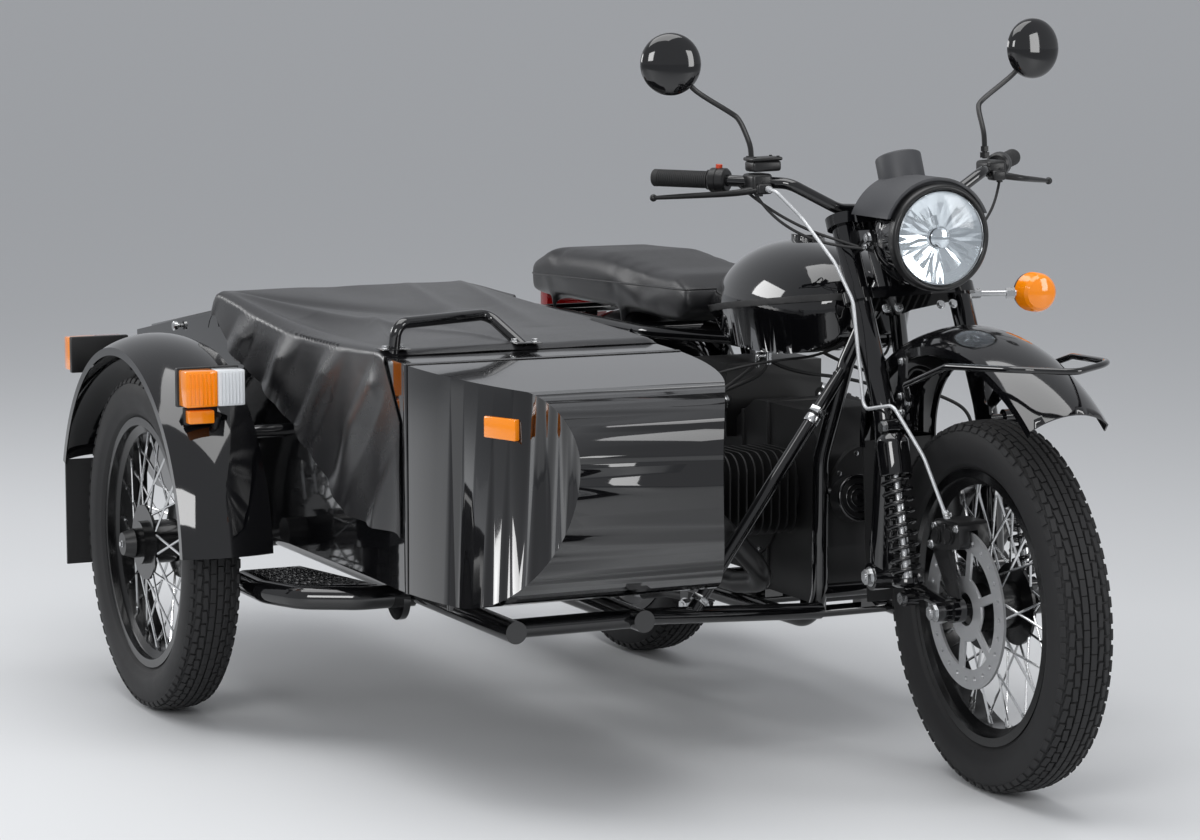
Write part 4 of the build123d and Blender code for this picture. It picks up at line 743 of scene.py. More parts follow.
SHOCKS = (
    # name, top, foot, body
    ("front", (1325, 124, 662), (1392, 124, 352), "fork"),
    ("rear", (60, 155, 690), (105, 155, 352), "chassis"),
)
for name, top, foot, body in SHOCKS:
    place = steered if body == "fork" else at
    coils, sleeves, rods = [], [], []
    for side in (-1, 1):
        upper = place(top[0], side * top[1], top[2])
        lower = place(foot[0], side * foot[1], foot[2])
        across = (place(top[0], 500, top[2]) - place(top[0], 0, top[2])).normalized()
        down = (lower - upper).normalized()
        length = (lower - upper).length
        coil_from = SLEEVE_FROM + SLEEVE_LENGTH
        coil_length = length - SEAT_RISE - coil_from
        coils.append(coil_spring(upper + down * (coil_from + WIRE_RADIUS), down, coil_length))
        sleeve = lathe(
            (
                (0.011, 0.012),
                (0.020, 0.013),
                (0.0270, 0.020),
                (0.0300, 0.026),
                (0.0305, 0.032),
                (0.0305, SLEEVE_LENGTH + 0.020),
                (0.0315, SLEEVE_LENGTH + 0.022),
                (0.0290, SLEEVE_LENGTH + 0.024),
                (0.0110, SLEEVE_LENGTH + 0.024),
            ),
            40,
        )
        sleeves.append(place_along(sleeve, upper, down))
        seat = lathe(
            (
                (0.010, length - 0.036),
                (0.029, length - 0.036),
                (0.030, length - 0.033),
                (0.030, length - 0.026),
                (0.022, length - 0.021),
                (0.010, length - 0.018),
            ),
            40,
        )
        sleeves.append(place_along(seat, upper, down))
        rods.append(
            cylinder_between(upper + down * 0.05, upper + down * (length - 0.030), 0.0095, 28)
        )
        for end in (upper, lower):
            eye = lathe(
                (
                    (0.0085, -EYE_HALF_WIDTH),
                    (0.0150, -EYE_HALF_WIDTH),
                    (0.0150, EYE_HALF_WIDTH),
                    (0.0085, EYE_HALF_WIDTH),
                ),
                32,
            )
            sleeves.append(place_along(eye, end, across, "X"))
            half_pin = across * EYE_HALF_WIDTH
            rods.append(cylinder_between(end - half_pin, end + half_pin, 0.0084, 20))
            bpy.ops.mesh.primitive_cylinder_add(vertices=6, radius=0.0115, depth=0.008)
            rods.append(place_along(bpy.context.object, end + across * side * 0.0168, across))
    replaced = (f"{name}_shocks",)
    assembled(coils, 60, f"{name}_springs", gloss_black, body, "gloss_black", replaced)
    assembled(sleeves, 32, f"{name}_spring_sleeves", gloss_black, body, "gloss_black")
    assembled(rods, 32, f"{name}_damper_rods", bright_zinc, body, "zinc")

# Headlight: a 180 mm unit in a deep steel bowl. A satin ring holds a clear glass over a bright
# reflector pressed in wedge facets, with a bulb shield in the middle.
LIGHT_Z = 1003
FORWARD = (steered(1400, 0, LIGHT_Z) - steered(1300, 0, LIGHT_Z)).normalized()
LIGHT_FACE = steered(1289, 0, LIGHT_Z)
softened("headlight_shell", "headlight_bowl", gloss_black, "fork", "gloss_black", 0.003, 30)
ring = lathe(
    (
        (0.0890, -0.004),
        (0.0890, 0.010),
        (0.0915, 0.0135),
        (0.0950, 0.0140),
        (0.0985, 0.0115),
        (0.1000, 0.006),
        (0.1000, -0.010),
        (0.0975, -0.010),
        (0.0975, -0.0005),
        (0.0920, -0.0005),
    ),
    96,
)
place_along(ring, LIGHT_FACE, FORWARD)
smooth(ring, 50)
settle(ring, "headlight_ring", satin_black, "fork", "satin_black")

mirror_metal = finish_of(
    "reflector_metal",
    hex_colour(0xF1F2F4),
    {"Gloss Low": 0.06, "Gloss High": 0.12, "Relief Scale": 120.0, "Dust": 0.0},
    0.0,
    metallic=1.0,
)
REFLECTOR_WEDGES = 20
REFLECTOR_RADIUS = 0.0885
REFLECTOR_FLOOR = 0.0012
REFLECTOR_DEPTH = 0.0075
RIPPLE_HEIGHT = 0.0010
RIPPLE_RATE = 520
RIPPLE_TO = 0.085
bpy.ops.mesh.primitive_circle_add(
    vertices=REFLECTOR_WEDGES, radius=REFLECTOR_RADIUS, fill_type="TRIFAN"
)
reflector = bpy.context.object
bpy.ops.object.mode_set(mode="EDIT")
bpy.ops.mesh.select_all(action="SELECT")
bpy.ops.mesh.subdivide(number_cuts=3)
bpy.ops.object.mode_set(mode="OBJECT")
for vertex in reflector.data.vertices:
    radius = Vector((vertex.co.x, vertex.co.y)).length
    ripple = RIPPLE_HEIGHT * sin(radius * RIPPLE_RATE) * (1 if vertex.index % 2 else -1)
    dish = REFLECTOR_DEPTH * (radius / REFLECTOR_RADIUS) ** 2
    vertex.co.z = REFLECTOR_FLOOR + dish + ripple * (radius < RIPPLE_TO)
place_along(reflector, LIGHT_FACE, FORWARD)
settle(reflector, "headlight_reflector", mirror_metal, "fork", "clear_lens")
bulb_shield = lathe(
    (
        (0.0, 0.0125),
        (0.0150, 0.0118),
        (0.0185, 0.0100),
        (0.0190, 0.0040),
        (0.0, 0.0035),
    ),
    32,
)
place_along(bulb_shield, LIGHT_FACE, FORWARD)
smooth(bulb_shield, 40)
settle(bulb_shield, "bulb_shield", mirror_metal, "fork", "clear_lens")

clear_glass = finish_of(
    "clear_glass",
    hex_colour(0xF6FAFC),
    {"Gloss Low": 0.0, "Gloss High": 0.02, "Relief Scale": 30.0, "Dust": 0.02},
    0.0,
    Transmission_Weight=1.0,
    IOR=1.3,
)
GLASS_RADIUS = 0.0894
GLASS_FOOT = 0.0095
GLASS_RISE = 0.0122
GLASS_THICKNESS = 0.0028
dome = [
    (GLASS_RADIUS * sin(radians(angle)), GLASS_FOOT + GLASS_RISE * cos(radians(angle)))
    for angle in range(0, 91, 9)
]
glass = lathe(dome + [(r * 0.975, z - GLASS_THICKNESS) for r, z in reversed(dome)], 72)
place_along(glass, LIGHT_FACE, FORWARD)
smooth(glass, 45)
settle(glass, "headlight_glass", clear_glass, "fork", "clear_lens", ("headlight_lens",))

# Cowl and instrument pod: moulded grey plastic with a fine grain. The cowl wraps the bowl's top,
# and the pod above it has a glass dial that faces the rider.
grey_plastic = finish_of(
    "grey_plastic",
    hex_colour(0x3A3B3E),
    {"Gloss Low": 0.42, "Gloss High": 0.55, "Relief Scale": 900.0, "Dust": 0.35},
    0.00005,
)
softened("headlight_cowl", "headlight_cowl_shell", grey_plastic, "fork", "grey_plastic", 0.0015, 40)
softened("speedometer", "instrument_pod", grey_plastic, "fork", "grey_plastic", 0.004, 40, 4)
POD_TILT = radians(22)
POD_UP = (steered(-sin(POD_TILT) * 100, 0, cos(POD_TILT) * 100) - steered(0, 0, 0)).normalized()
POD_TOP = steered(1137, 0, 1118) + POD_UP * 0.0311
dial_face = finish_of(
    "dial_face",
    hex_colour(0x101011),
    {"Gloss Low": 0.03, "Gloss High": 0.06, "Relief Scale": 40.0, "Dust": 0.1},
    0.0,
    Coat_Weight=1.0,
)
dial = lathe(((0.0, -0.002), (0.036, -0.002), (0.036, 0.0006), (0.0, 0.0012)), 64)
place_along(dial, POD_TOP, POD_UP)
smooth(dial, 30)
settle(dial, "instrument_glass", dial_face, "fork", "satin_black")

# Turn signal: an amber moulded lens with rings round it, over a black housing, on a zinc plated
# stem that is screwed to the fork. The lamps on the fenders have lenses of the same plastic.
def lens_plastic(name, colour, **sockets):
    """Moulded lens plastic of a colour, with a faint pebble."""
    return finish_of(
        name,
        hex_colour(colour),
        {"Gloss Low": 0.04, "Gloss High": 0.08, "Relief Scale": 160.0, "Dust": 0.05},
        0.00015,
        Coat_Weight=0.6,
        **sockets,
    )


# The amber plastic is given a faint orange emission, a painted glow as though light shone through it,
# though no lamp is lit. The signal, the fender lamps' amber ends, the side marker and the side
# reflector all carry it.
amber_lens = lens_plastic(
    "amber_lens", 0xF08A0A, Emission_Color=hex_colour(0xF07000), Emission_Strength=0.12
)
red_lens = lens_plastic("red_lens", 0x8C0A0C)
white_lens = lens_plastic("white_lens", 0xDADDE0)
SIGNAL_BACK = steered(1177, 250, 878)
signal_rings = [(0.0375 - 0.0012 * (i % 2), 0.012 + 0.003 * i) for i in range(10)]
lens = lathe(
    [(0.0, 0.010), (0.036, 0.010)]
    + signal_rings
    + [(0.0345, 0.0445), (0.0290, 0.0500), (0.0190, 0.0535), (0.0, 0.0555)],
    56,
)
place_along(lens, SIGNAL_BACK, FORWARD)
smooth(lens, 25)
settle(lens, "left_signal_lens", amber_lens, "fork", "amber_lens", ("left_turn_signal",))
housing = lathe(((0.0, 0.0), (0.030, 0.0005), (0.0360, 0.004), (0.0372, 0.0105), (0.0, 0.0105)), 56)
place_along(housing, SIGNAL_BACK, FORWARD)
stem = cylinder_between(steered(1192, 214, 878), steered(1170, 140, 880), 0.0058, 20)
collar = cylinder_between(steered(1190, 212, 878), steered(1185, 196, 878), 0.0105, 6)
foot = cylinder_between(steered(1172, 148, 880), steered(1168, 127, 880), 0.0095, 6)
smooth(housing, 30)
settle(housing, "left_signal_housing", satin_black, "fork", "satin_black")
assembled([stem, collar, foot], 30, "left_signal_stem", bright_zinc, "fork", "zinc")

# Seat: foam on a steel pan under stitched vinyl with a fine grain. The foam presses the vinyl out
# between its seams, and a welt runs round the sides under the top panel.
vinyl = finish_of(
    "black_vinyl",
    hex_colour(0x1D1D1F),
    {"Gloss Low": 0.3, "Gloss High": 0.42, "Relief Scale": 1400.0, "Dust": 0.18, "Patch Scale": 9.0},
    0.00022,
    Coat_Weight=0.12,
    Coat_Roughness=0.35,
)
SEAT_SWELL = 0.005
SEAT_VOXEL = 0.006
FOAM_FRAMES = 20
WELT_RISE = 0.098
WELT_RADIUS = 0.0022
cushion = free_copy("seat")
remesh = cushion.modifiers.new("even", "REMESH")
remesh.mode = "VOXEL"
remesh.voxel_size = SEAT_VOXEL
relax = cushion.modifiers.new("relax", "SMOOTH")
relax.factor = 0.5
relax.iterations = 22
apply_all(cushion)
before = [vertex.co.copy() for vertex in cushion.data.vertices]
bpy.context.scene.frame_start = 1
bpy.context.scene.frame_end = FOAM_FRAMES
foam = cushion.modifiers.new("foam", "CLOTH")
foam.settings.quality = 4
foam.settings.use_pressure = True
foam.settings.uniform_pressure_force = 4.0
foam.settings.effector_weights.gravity = 0.0
foam.settings.tension_stiffness = 60
foam.settings.compression_stiffness = 60
foam.settings.bending_stiffness = 15.0
foam.collision_settings.use_collision = False
foam.point_cache.frame_start = 1
foam.point_cache.frame_end = FOAM_FRAMES
for number in range(1, FOAM_FRAMES + 1):
    bpy.context.scene.frame_set(number)
apply_all(cushion)
bpy.context.scene.frame_set(1)
for vertex, rest in zip(cushion.data.vertices, before):
    moved = vertex.co - rest
    if moved.length > SEAT_SWELL:
        vertex.co = rest + moved.normalized() * SEAT_SWELL
settled = cushion.modifiers.new("settled", "SMOOTH")
settled.factor = 0.5
settled.iterations = 30
apply_all(cushion)
seat_low, seat_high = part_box("seat")
for vertex in cushion.data.vertices:
    vertex.co.z = max(vertex.co.z, seat_low.z + 0.0005)
finer = cushion.modifiers.new("finer", "SUBSURF")
finer.levels = 1
finer.render_levels = 1
apply_all(cushion)
smooth(cushion, 60)
only(cushion)
bpy.ops.object.duplicate()
welt_middle = Vector(((seat_low.x + seat_high.x) / 2, 0, seat_low.z + WELT_RISE))
bpy.ops.object.mode_set(mode="EDIT")
bpy.ops.mesh.select_all(action="SELECT")
bpy.ops.mesh.bisect(
    plane_co=welt_middle,
    plane_no=Vector((-0.03, 0, 1)),
    clear_inner=True,
    clear_outer=True,
)
bpy.ops.object.mode_set(mode="OBJECT")
bpy.ops.object.convert(target="CURVE")
welt = bpy.context.object
welt.data.bevel_depth = WELT_RADIUS
welt.data.bevel_resolution = 2
bpy.ops.object.convert(target="MESH")
welt = bpy.context.object
smooth(welt, 60)
settle(cushion, "seat_cushion", vinyl, "chassis", "vinyl", ("seat",))
settle(welt, "seat_welt", vinyl, "chassis", "vinyl")

# Tonneau cover: one sheet of vinyl stretched over the cockpit from a bow behind it, folded down
# the left side and hanging in a deep apron down the right. It creases from its corners and from
# the handle's feet, and dips between the bow and the handle.
BACK_X = -26
BOW_X = 20
FRONT_X = 930
BOW_Z = 838
FRONT_Z = 800
RIM_TOP = 791.2
LEFT_EDGE = -422
RIGHT_EDGE = -984
TOP_WIDTH = LEFT_EDGE - RIGHT_EDGE
LEFT_SKIRT = 34
BACK_DROP = 46
FRONT_ROUND = 25
FRONT_DROP = 8
EDGE_ROUND = 16
EDGE_DROP = 6.4
EDGE_SAG = 26
EDGE_SAG_REACH = 130
SLACK = 17
APRON_FLARE = 78
FOLD_DEPTH = 6.5
GATHER_DEPTH = 11.0
APRON_LINE = (
    # x and z of the lower hem's corners, in millimetres like the other sizes of the cover
    (-20, 806),
    (120, 722),
    (494, 605),
    (705, 472),
    (930, 472),
)
COVER_COLUMNS = 168
COVER_ROWS = 132
CREASES = (
    # from and to on the top as (x, y), height and half width of the ridge in mm
    ((30, -975), (860, -930), 8.0, 26),
    ((20, -960), (620, -800), 13.0, 32),
    ((20, -960), (420, -640), -9.0, 38),
    ((10, -440), (700, -560), 8.0, 28),
    ((10, -560), (560, -640), 6.0, 36),
    ((900, -950), (380, -790), 10.0, 18),
    ((900, -950), (330, -900), -7.0, 24),
    ((870, -700), (380, -560), 8.0, 22),
    ((880, -700), (560, -700), -6.0, 26),
    ((905, -700), (520, -830), 6.0, 18),
)


def share_of(value):
    """A value kept between 0 and 1."""
    return max(0, min(1, value))


def line_to_front(x):
    """The height at x of the straight line from the bow to the sheet's front edge."""
    return BOW_Z - (x - BOW_X) * (BOW_Z - FRONT_Z) / (FRONT_X - BOW_X)


def apron_drop(x):
    """How far the apron hangs below the sheet's top at x."""
    for (x0, z0), (x1, z1) in zip(APRON_LINE, APRON_LINE[1:]):
        if x <= x1:
            return line_to_front(x) - (z0 + (z1 - z0) * share_of((x - x0) / (x1 - x0)))
    return line_to_front(x) - APRON_LINE[-1][1]


def edge_sag(x):
    """How far the sheet dips between the bow and the handle along its right edge."""
    return EDGE_SAG * sin(pi * share_of(x / 900)) ** 1.2


def crease_height(x, y):
    """The sheet's rise at a place on its top, from the creases and its slack."""
    rise = 0.0
    for (x0, y0), (x1, y1), height, width in CREASES:
        length = sqrt((x1 - x0) ** 2 + (y1 - y0) ** 2)
        along = ((x - x0) * (x1 - x0) + (y - y0) * (y1 - y0)) / length**2
        beside = ((x - x0) * (y1 - y0) - (y - y0) * (x1 - x0)) / length
        if -0.05 < along < 1.05:
            fade = sin(pi * share_of(along)) ** 0.6
            spread_out = width * (0.4 + 0.9 * along)
            rise += height * fade / (1 + (beside / spread_out) ** 2) ** 1.5
    across = share_of((y - RIGHT_EDGE) / TOP_WIDTH)
    forward = share_of(x / FRONT_X)
    slack = -SLACK * sin(pi * across) * sin(pi * min(1, forward * 1.15)) * (1 - 0.45 * forward)
    ripple = 2.2 * noise.noise(Vector((x / 210, y / 90, 0.3)))
    return rise + slack + ripple * sin(pi * across)


def skirt_place(x, run, top):
    """A place on the fold down the left side, run along the sheet from its lower hem."""
    return at(x, LEFT_EDGE + 1.5 + 1.5 * sin(x / 40), top - (LEFT_SKIRT - run))


def top_place(x, run, top):
    """A place on the sheet's top, run across it from the left side."""
    y = LEFT_EDGE - run
    edge = min(run, TOP_WIDTH - run)
    fall = EDGE_DROP * (max(0, EDGE_ROUND - edge) / EDGE_ROUND) ** 2
    sag = edge_sag(x) * exp(-(((y - RIGHT_EDGE) / EDGE_SAG_REACH) ** 2))
    return at(x, y, max(top + crease_height(x, y) * min(1, edge / EDGE_ROUND) - fall - sag, RIM_TOP))


def apron_place(x, down, top, drop):
    """A place on the apron, so far down it: held flat at its front edge, loose behind it."""
    z = top - EDGE_DROP - down * (drop - EDGE_DROP) / max(drop, 1)
    z -= edge_sag(x) * max(0, 1 - down / max(drop, 1))
    depth = down / 340
    held = max(0.12, min(1, (925 - x) / 70))
    x += APRON_FLARE * min(1, down / 110) * share_of((x - 420) / 500)
    fold = sin(x / 31 + depth * 2.2) * 0.5 + sin(x / 57 - depth * 3.1 + 1.2) * 0.5
    gather = max(0, sin((x - 880 + down * 0.8) / 38)) * min(1, down / 60)
    y = RIGHT_EDGE - 0.8 - FOLD_DEPTH * (1 + fold) * min(1, depth * 2.4) * held
    return at(x, y - GATHER_DEPTH * gather * held, z)


bpy.ops.mesh.primitive_grid_add(x_subdivisions=COVER_COLUMNS, y_subdivisions=COVER_ROWS, size=2)
cover = bpy.context.object
for vertex in cover.data.vertices:
    forward = (vertex.co.x + 1) / 2
    across = (vertex.co.y + 1) / 2
    x = BACK_X + forward * (FRONT_X - BACK_X)
    top = line_to_front(max(BOW_X, x))
    top -= BACK_DROP * (max(0.0, BOW_X - x) / BACK_DROP) ** 2.2
    top -= FRONT_DROP * (max(0.0, x - FRONT_X + FRONT_ROUND) / FRONT_ROUND) ** 2
    drop = apron_drop(x)
    run = across * (LEFT_SKIRT + TOP_WIDTH + drop)
    if run < LEFT_SKIRT:
        vertex.co = skirt_place(x, run, top)
    elif run < LEFT_SKIRT + TOP_WIDTH:
        vertex.co = top_place(x, run - LEFT_SKIRT, top)
    else:
        vertex.co = apron_place(x, run - LEFT_SKIRT - TOP_WIDTH, top, drop)
thick = cover.modifiers.new("thick", "SOLIDIFY")
thick.thickness = 0.0016
thick.offset = 1.0
apply_all(cover)
bpy.ops.object.mode_set(mode="EDIT")
bpy.ops.mesh.select_all(action="SELECT")
bpy.ops.mesh.normals_make_consistent(inside=False)
bpy.ops.object.mode_set(mode="OBJECT")
smooth(cover, 60)
tonneau_vinyl = finish_of(
    "tonneau_vinyl",
    hex_colour(0x1A1A1C),
    {"Gloss Low": 0.22, "Gloss High": 0.34, "Relief Scale": 1200.0, "Dust": 0.1, "Patch Scale": 5.0},
    0.00018,
    Coat_Weight=0.32,
    Coat_Roughness=0.26,
)
settle(cover, "tonneau_sheet", tonneau_vinyl, "chassis", "vinyl", ("tonneau_cover",))

# Fender lamps: two-colour moulded lenses on black backs, on short tubes from the fender. The front
# one is amber outside and clear inside, the rear one red with an amber end.
def block(low, high, round_edge=0.002, segments=2):
    """A box between two corners of the layout, in millimetres, with rounded edges."""
    a, b = at(*low), at(*high)
    bpy.ops.mesh.primitive_cube_add(size=1, location=(a + b) / 2)
    piece = bpy.context.object
    piece.scale = b - a
    bpy.ops.object.transform_apply(location=False, rotation=False, scale=True)
    if round_edge:
        edge = piece.modifiers.new("edge", "BEVEL")
        edge.width = round_edge
        edge.segments = segments
        apply_all(piece)
    return piece


LAMPS = (
    # name, x of the back, way it faces, z, outer lens, inner lens
    ("front", 462, 1, 695, amber_lens, "amber_lens", white_lens, "clear_lens"),
    ("rear", -246, -1, 690, amber_lens, "amber_lens", red_lens, "red_lens"),
)
LAMP_OUTER_Y = -1222
LAMP_SPLIT_Y = -1158
LAMP_INNER_Y = -1102
LAMP_DEPTH = 46
LAMP_HALF_HEIGHT = 35
RIB_HALF_HEIGHT = 31
RIBS_PER_LENS = 7
BACK_DEPTH = 14
BACK_MARGIN = 3
STALK_Y = -1153
STALK_LENGTH = 78
for name, back_x, way, z, outer, outer_slot, inner, inner_slot in LAMPS:
    front_x = back_x + way * LAMP_DEPTH
    low_x, high_x = sorted((back_x, front_x))
    rib_x = front_x + way * 0.6
    rib_low, rib_high = z - RIB_HALF_HEIGHT, z + RIB_HALF_HEIGHT
    for part, y0, y1, lens_paint, lens_slot in (
        ("outer", LAMP_OUTER_Y, LAMP_SPLIT_Y, outer, outer_slot),
        ("inner", LAMP_SPLIT_Y + 0.4, LAMP_INNER_Y, inner, inner_slot),
    ):
        low, high = (low_x, y0, z - LAMP_HALF_HEIGHT), (high_x, y1, z + LAMP_HALF_HEIGHT)
        lens_parts = [block(low, high, 0.003)]
        for rib in range(1, RIBS_PER_LENS + 1):
            y = y0 + (y1 - y0) * rib / (RIBS_PER_LENS + 1)
            low, high = (rib_x - 1.4, y - 1.3, rib_low), (rib_x + 1.4, y + 1.3, rib_high)
            lens_parts.append(block(low, high, 0.0006, 1))
        assembled(lens_parts, 35, f"{name}_lamp_{part}_lens", lens_paint, "chassis", lens_slot)
    rear_x = back_x - way * BACK_DEPTH
    low_x, high_x = sorted((rear_x, back_x))
    half_height = LAMP_HALF_HEIGHT + BACK_MARGIN
    back = block(
        (low_x, LAMP_OUTER_Y - BACK_MARGIN, z - half_height),
        (high_x, LAMP_INNER_Y + BACK_MARGIN, z + half_height),
    )
    toward = Vector((SIDECAR_LEAD - rear_x, 0, AXLE_HEIGHT - z)).normalized() * STALK_LENGTH
    stalk_foot = at(rear_x + toward.x, STALK_Y, z + toward.z)
    stalk = cylinder_between(at(rear_x, STALK_Y, z), stalk_foot, 0.013, 28)
    replaced = ("fender_lamps",) if name == "front" else ()
    assembled(
        [stalk, back], 35, f"{name}_lamp_back", satin_black, "chassis", "satin_black", replaced
    )
marker_lens = block((470, -1212, 626), (494, -1160, 652), 0.003)
smooth(marker_lens, 35)
settle(marker_lens, "front_side_marker", amber_lens, "chassis", "amber_lens")
marker_stem = cylinder_between(at(481, -1150, 640), at(462, -1150, 610), 0.008, 20)
marker_back = [marker_stem, block((458, -1214, 622), (471, -1146, 656), 0.002)]
assembled(marker_back, 35, "front_marker_back", satin_black, "chassis", "satin_black")

# The side reflector is no lamp, yet its amber plastic carries the same painted glow.
softened("side_reflector", "side_reflector_lens", amber_lens, "chassis", "amber_lens", 0.0025, 40)
softened("tail_lamp", "tail_lamp_lens", red_lens, "chassis", "red_lens", 0.006, 40, 3)


# Mirrors: round pressed shells in gloss black with a silvered glass towards the rider, on steel
# stems that screw into the lever perches.
def path_tube(points, radius, radii=None, sides=3):
    """A tube along a smooth line near its points, in metres; radii scale it point by point."""
    bpy.ops.curve.primitive_nurbs_path_add()
    piece = bpy.context.object
    curve = piece.data
    curve.splines.clear()
    spline = curve.splines.new("NURBS")
    spline.points.add(len(points) - 1)
    for index, point in enumerate(points):
        spline.points[index].co = (*point, 1.0)
        spline.points[index].radius = radii[index] if radii else 1.0
    spline.order_u = 3
    spline.use_endpoint_u = True
    spline.resolution_u = 10
    curve.bevel_depth = radius
    curve.bevel_resolution = sides
    curve.use_fill_caps = True
    only(piece)
    bpy.ops.object.convert(target="MESH")
    return bpy.context.object


silvered = finish_of(
    "silvered_glass",
    hex_colour(0xD9DEE2),
    {"Gloss Low": 0.0, "Gloss High": 0.02, "Relief Scale": 20.0, "Dust": 0.05},
    0.0,
    metallic=1.0,
)
MIRROR_X = 962
MIRROR_Y = 390
MIRROR_Z = 1332
MIRROR_RADIUS = 0.0595
STEM_X = 1006
STEM_Y = 250
MIRROR_DOME = [
    (MIRROR_RADIUS * cos(radians(angle)), 0.003 + 0.0245 * sin(radians(angle)) ** 0.85)
    for angle in (7.5 * step for step in range(13))
]
shells, stems, glasses = [], [], []
for side in (-1, 1):
    centre = steered(MIRROR_X, side * MIRROR_Y, MIRROR_Z)
    ahead = (steered(MIRROR_X + 98, side * (MIRROR_Y + 12), MIRROR_Z + 2) - centre).normalized()
    base = centre - ahead * 0.0135
    shell = lathe([(0.0, 0.001), (0.0575, 0.001), (MIRROR_RADIUS, 0.0)] + MIRROR_DOME, 56)
    shells.append(place_along(shell, base, ahead))
    glass_disc = lathe(((0.0, -0.0002), (0.0562, -0.0002), (0.0562, 0.0015), (0.0, 0.0015)), 56)
    glasses.append(place_along(glass_disc, base, ahead))
    stem_points = [
        steered(STEM_X, side * STEM_Y, 1124),
        steered(STEM_X, side * STEM_Y, 1160),
        steered(1000, side * 251, 1180),
        steered(968, side * 256, 1222),
        steered(958, side * 268, 1234),
        steered(952, side * 330, 1272),
        steered(954, side * 352, 1290),
        steered(963, side * 388, 1329),
    ]
    stems.append(path_tube(stem_points, 0.0052))
    nut_at = steered(STEM_X, side * STEM_Y, 1131)
    nut_up = steered(STEM_X, side * STEM_Y, 1200) - steered(STEM_X, side * STEM_Y, 1100)
    for rise, radius in ((0.0, 0.0105), (0.012, 0.0085)):
        bpy.ops.mesh.primitive_cylinder_add(vertices=6, radius=radius, depth=0.010)
        stems.append(place_along(bpy.context.object, nut_at + nut_up.normalized() * rise, nut_up))
    bpy.ops.mesh.primitive_uv_sphere_add(segments=24, ring_count=16, radius=0.0095)
    knuckle = bpy.context.object
    knuckle.location = centre + ahead * 0.0005 + (stem_points[-2] - centre).normalized() * 0.006
    stems.append(knuckle)
assembled(shells, 50, "mirror_shells", gloss_black, "fork", "gloss_black", ("mirrors",))
assembled(stems, 32, "mirror_stems", satin_black, "fork", "satin_black")
assembled(glasses, 30, "mirror_glasses", silvered, "fork", "clear_lens")

# Grips and switches: ribbed rubber sleeves with a flange, and a two-part black housing clamped
# inboard of each. The right housing has a red stop switch.
BAR_END = {side: steered(862, side * 389, 1112) for side in (-1, 1)}
BAR_ELBOW = {side: steered(975, side * 295, 1108) for side in (-1, 1)}
GRIP_RIBS = 26
GRIP_RIB_PITCH = 0.0040
GRIP_RIB_RADIUS = 0.0166
GRIP_GROOVE_RADIUS = 0.0156
grip_section = [(0.0113, -0.0028), (0.0150, -0.0028), (0.0168, -0.0005), (0.0168, 0.004)]
for rib in range(GRIP_RIBS):
    start = 0.008 + GRIP_RIB_PITCH * rib
    grip_section += [
        (GRIP_RIB_RADIUS, start),
        (GRIP_RIB_RADIUS, start + 0.0024),
        (GRIP_GROOVE_RADIUS, start + 0.0029),
        (GRIP_GROOVE_RADIUS, start + 0.0037),
    ]
grip_section += [(0.0166, 0.1125), (0.0190, 0.1140), (0.0192, 0.1165), (0.0113, 0.1168)]
sleeves, housings = [], []
for side in (-1, 1):
    inward = (BAR_ELBOW[side] - BAR_END[side]).normalized()
    sleeves.append(place_along(lathe(grip_section, 40), BAR_END[side], inward))
    housing = lathe(
        (
            (0.0115, 0.119),
            (0.0200, 0.119),
            (0.0235, 0.123),
            (0.0240, 0.136),
            (0.0228, 0.1365),
            (0.0228, 0.1378),
            (0.0240, 0.1383),
            (0.0235, 0.152),
            (0.0195, 0.156),
            (0.0115, 0.156),
        ),
        40,
    )
    housings.append(place_along(housing, BAR_END[side], inward))
assembled(sleeves, 28, "grip_sleeves", black_rubber, "fork", "black_rubber", ("grips",))
assembled(housings, 28, "switch_housings", satin_black, "fork", "satin_black")
inward = (BAR_ELBOW[-1] - BAR_END[-1]).normalized()
bpy.ops.mesh.primitive_cylinder_add(vertices=24, radius=0.0065, depth=0.008)
stop_switch = place_along(
    bpy.context.object, BAR_END[-1] + inward * 0.137 + Vector((0, 0, 0.026)), (0.1, 0, 1)
)
switch_red = finish_of(
    "switch_red",
    hex_colour(0xC2401C),
    {"Gloss Low": 0.25, "Gloss High": 0.35, "Relief Scale": 300.0, "Dust": 0.1},
    0.0,
)
smooth(stop_switch, 30)
settle(stop_switch, "stop_switch", switch_red, "fork", "red_lens")


# Levers: forged blades with a ball end, pivoting in cast perches. The right perch carries the
# brake's square reservoir under a screwed lid.
def steered_block(low, high, round_edge=0.003, segments=3):
    """A rounded box on what steers."""
    piece = block(low, high, round_edge, segments)
    bpy.ops.object.transform_apply(location=True, rotation=True, scale=True)
    piece.matrix_world = PARKED
    return piece


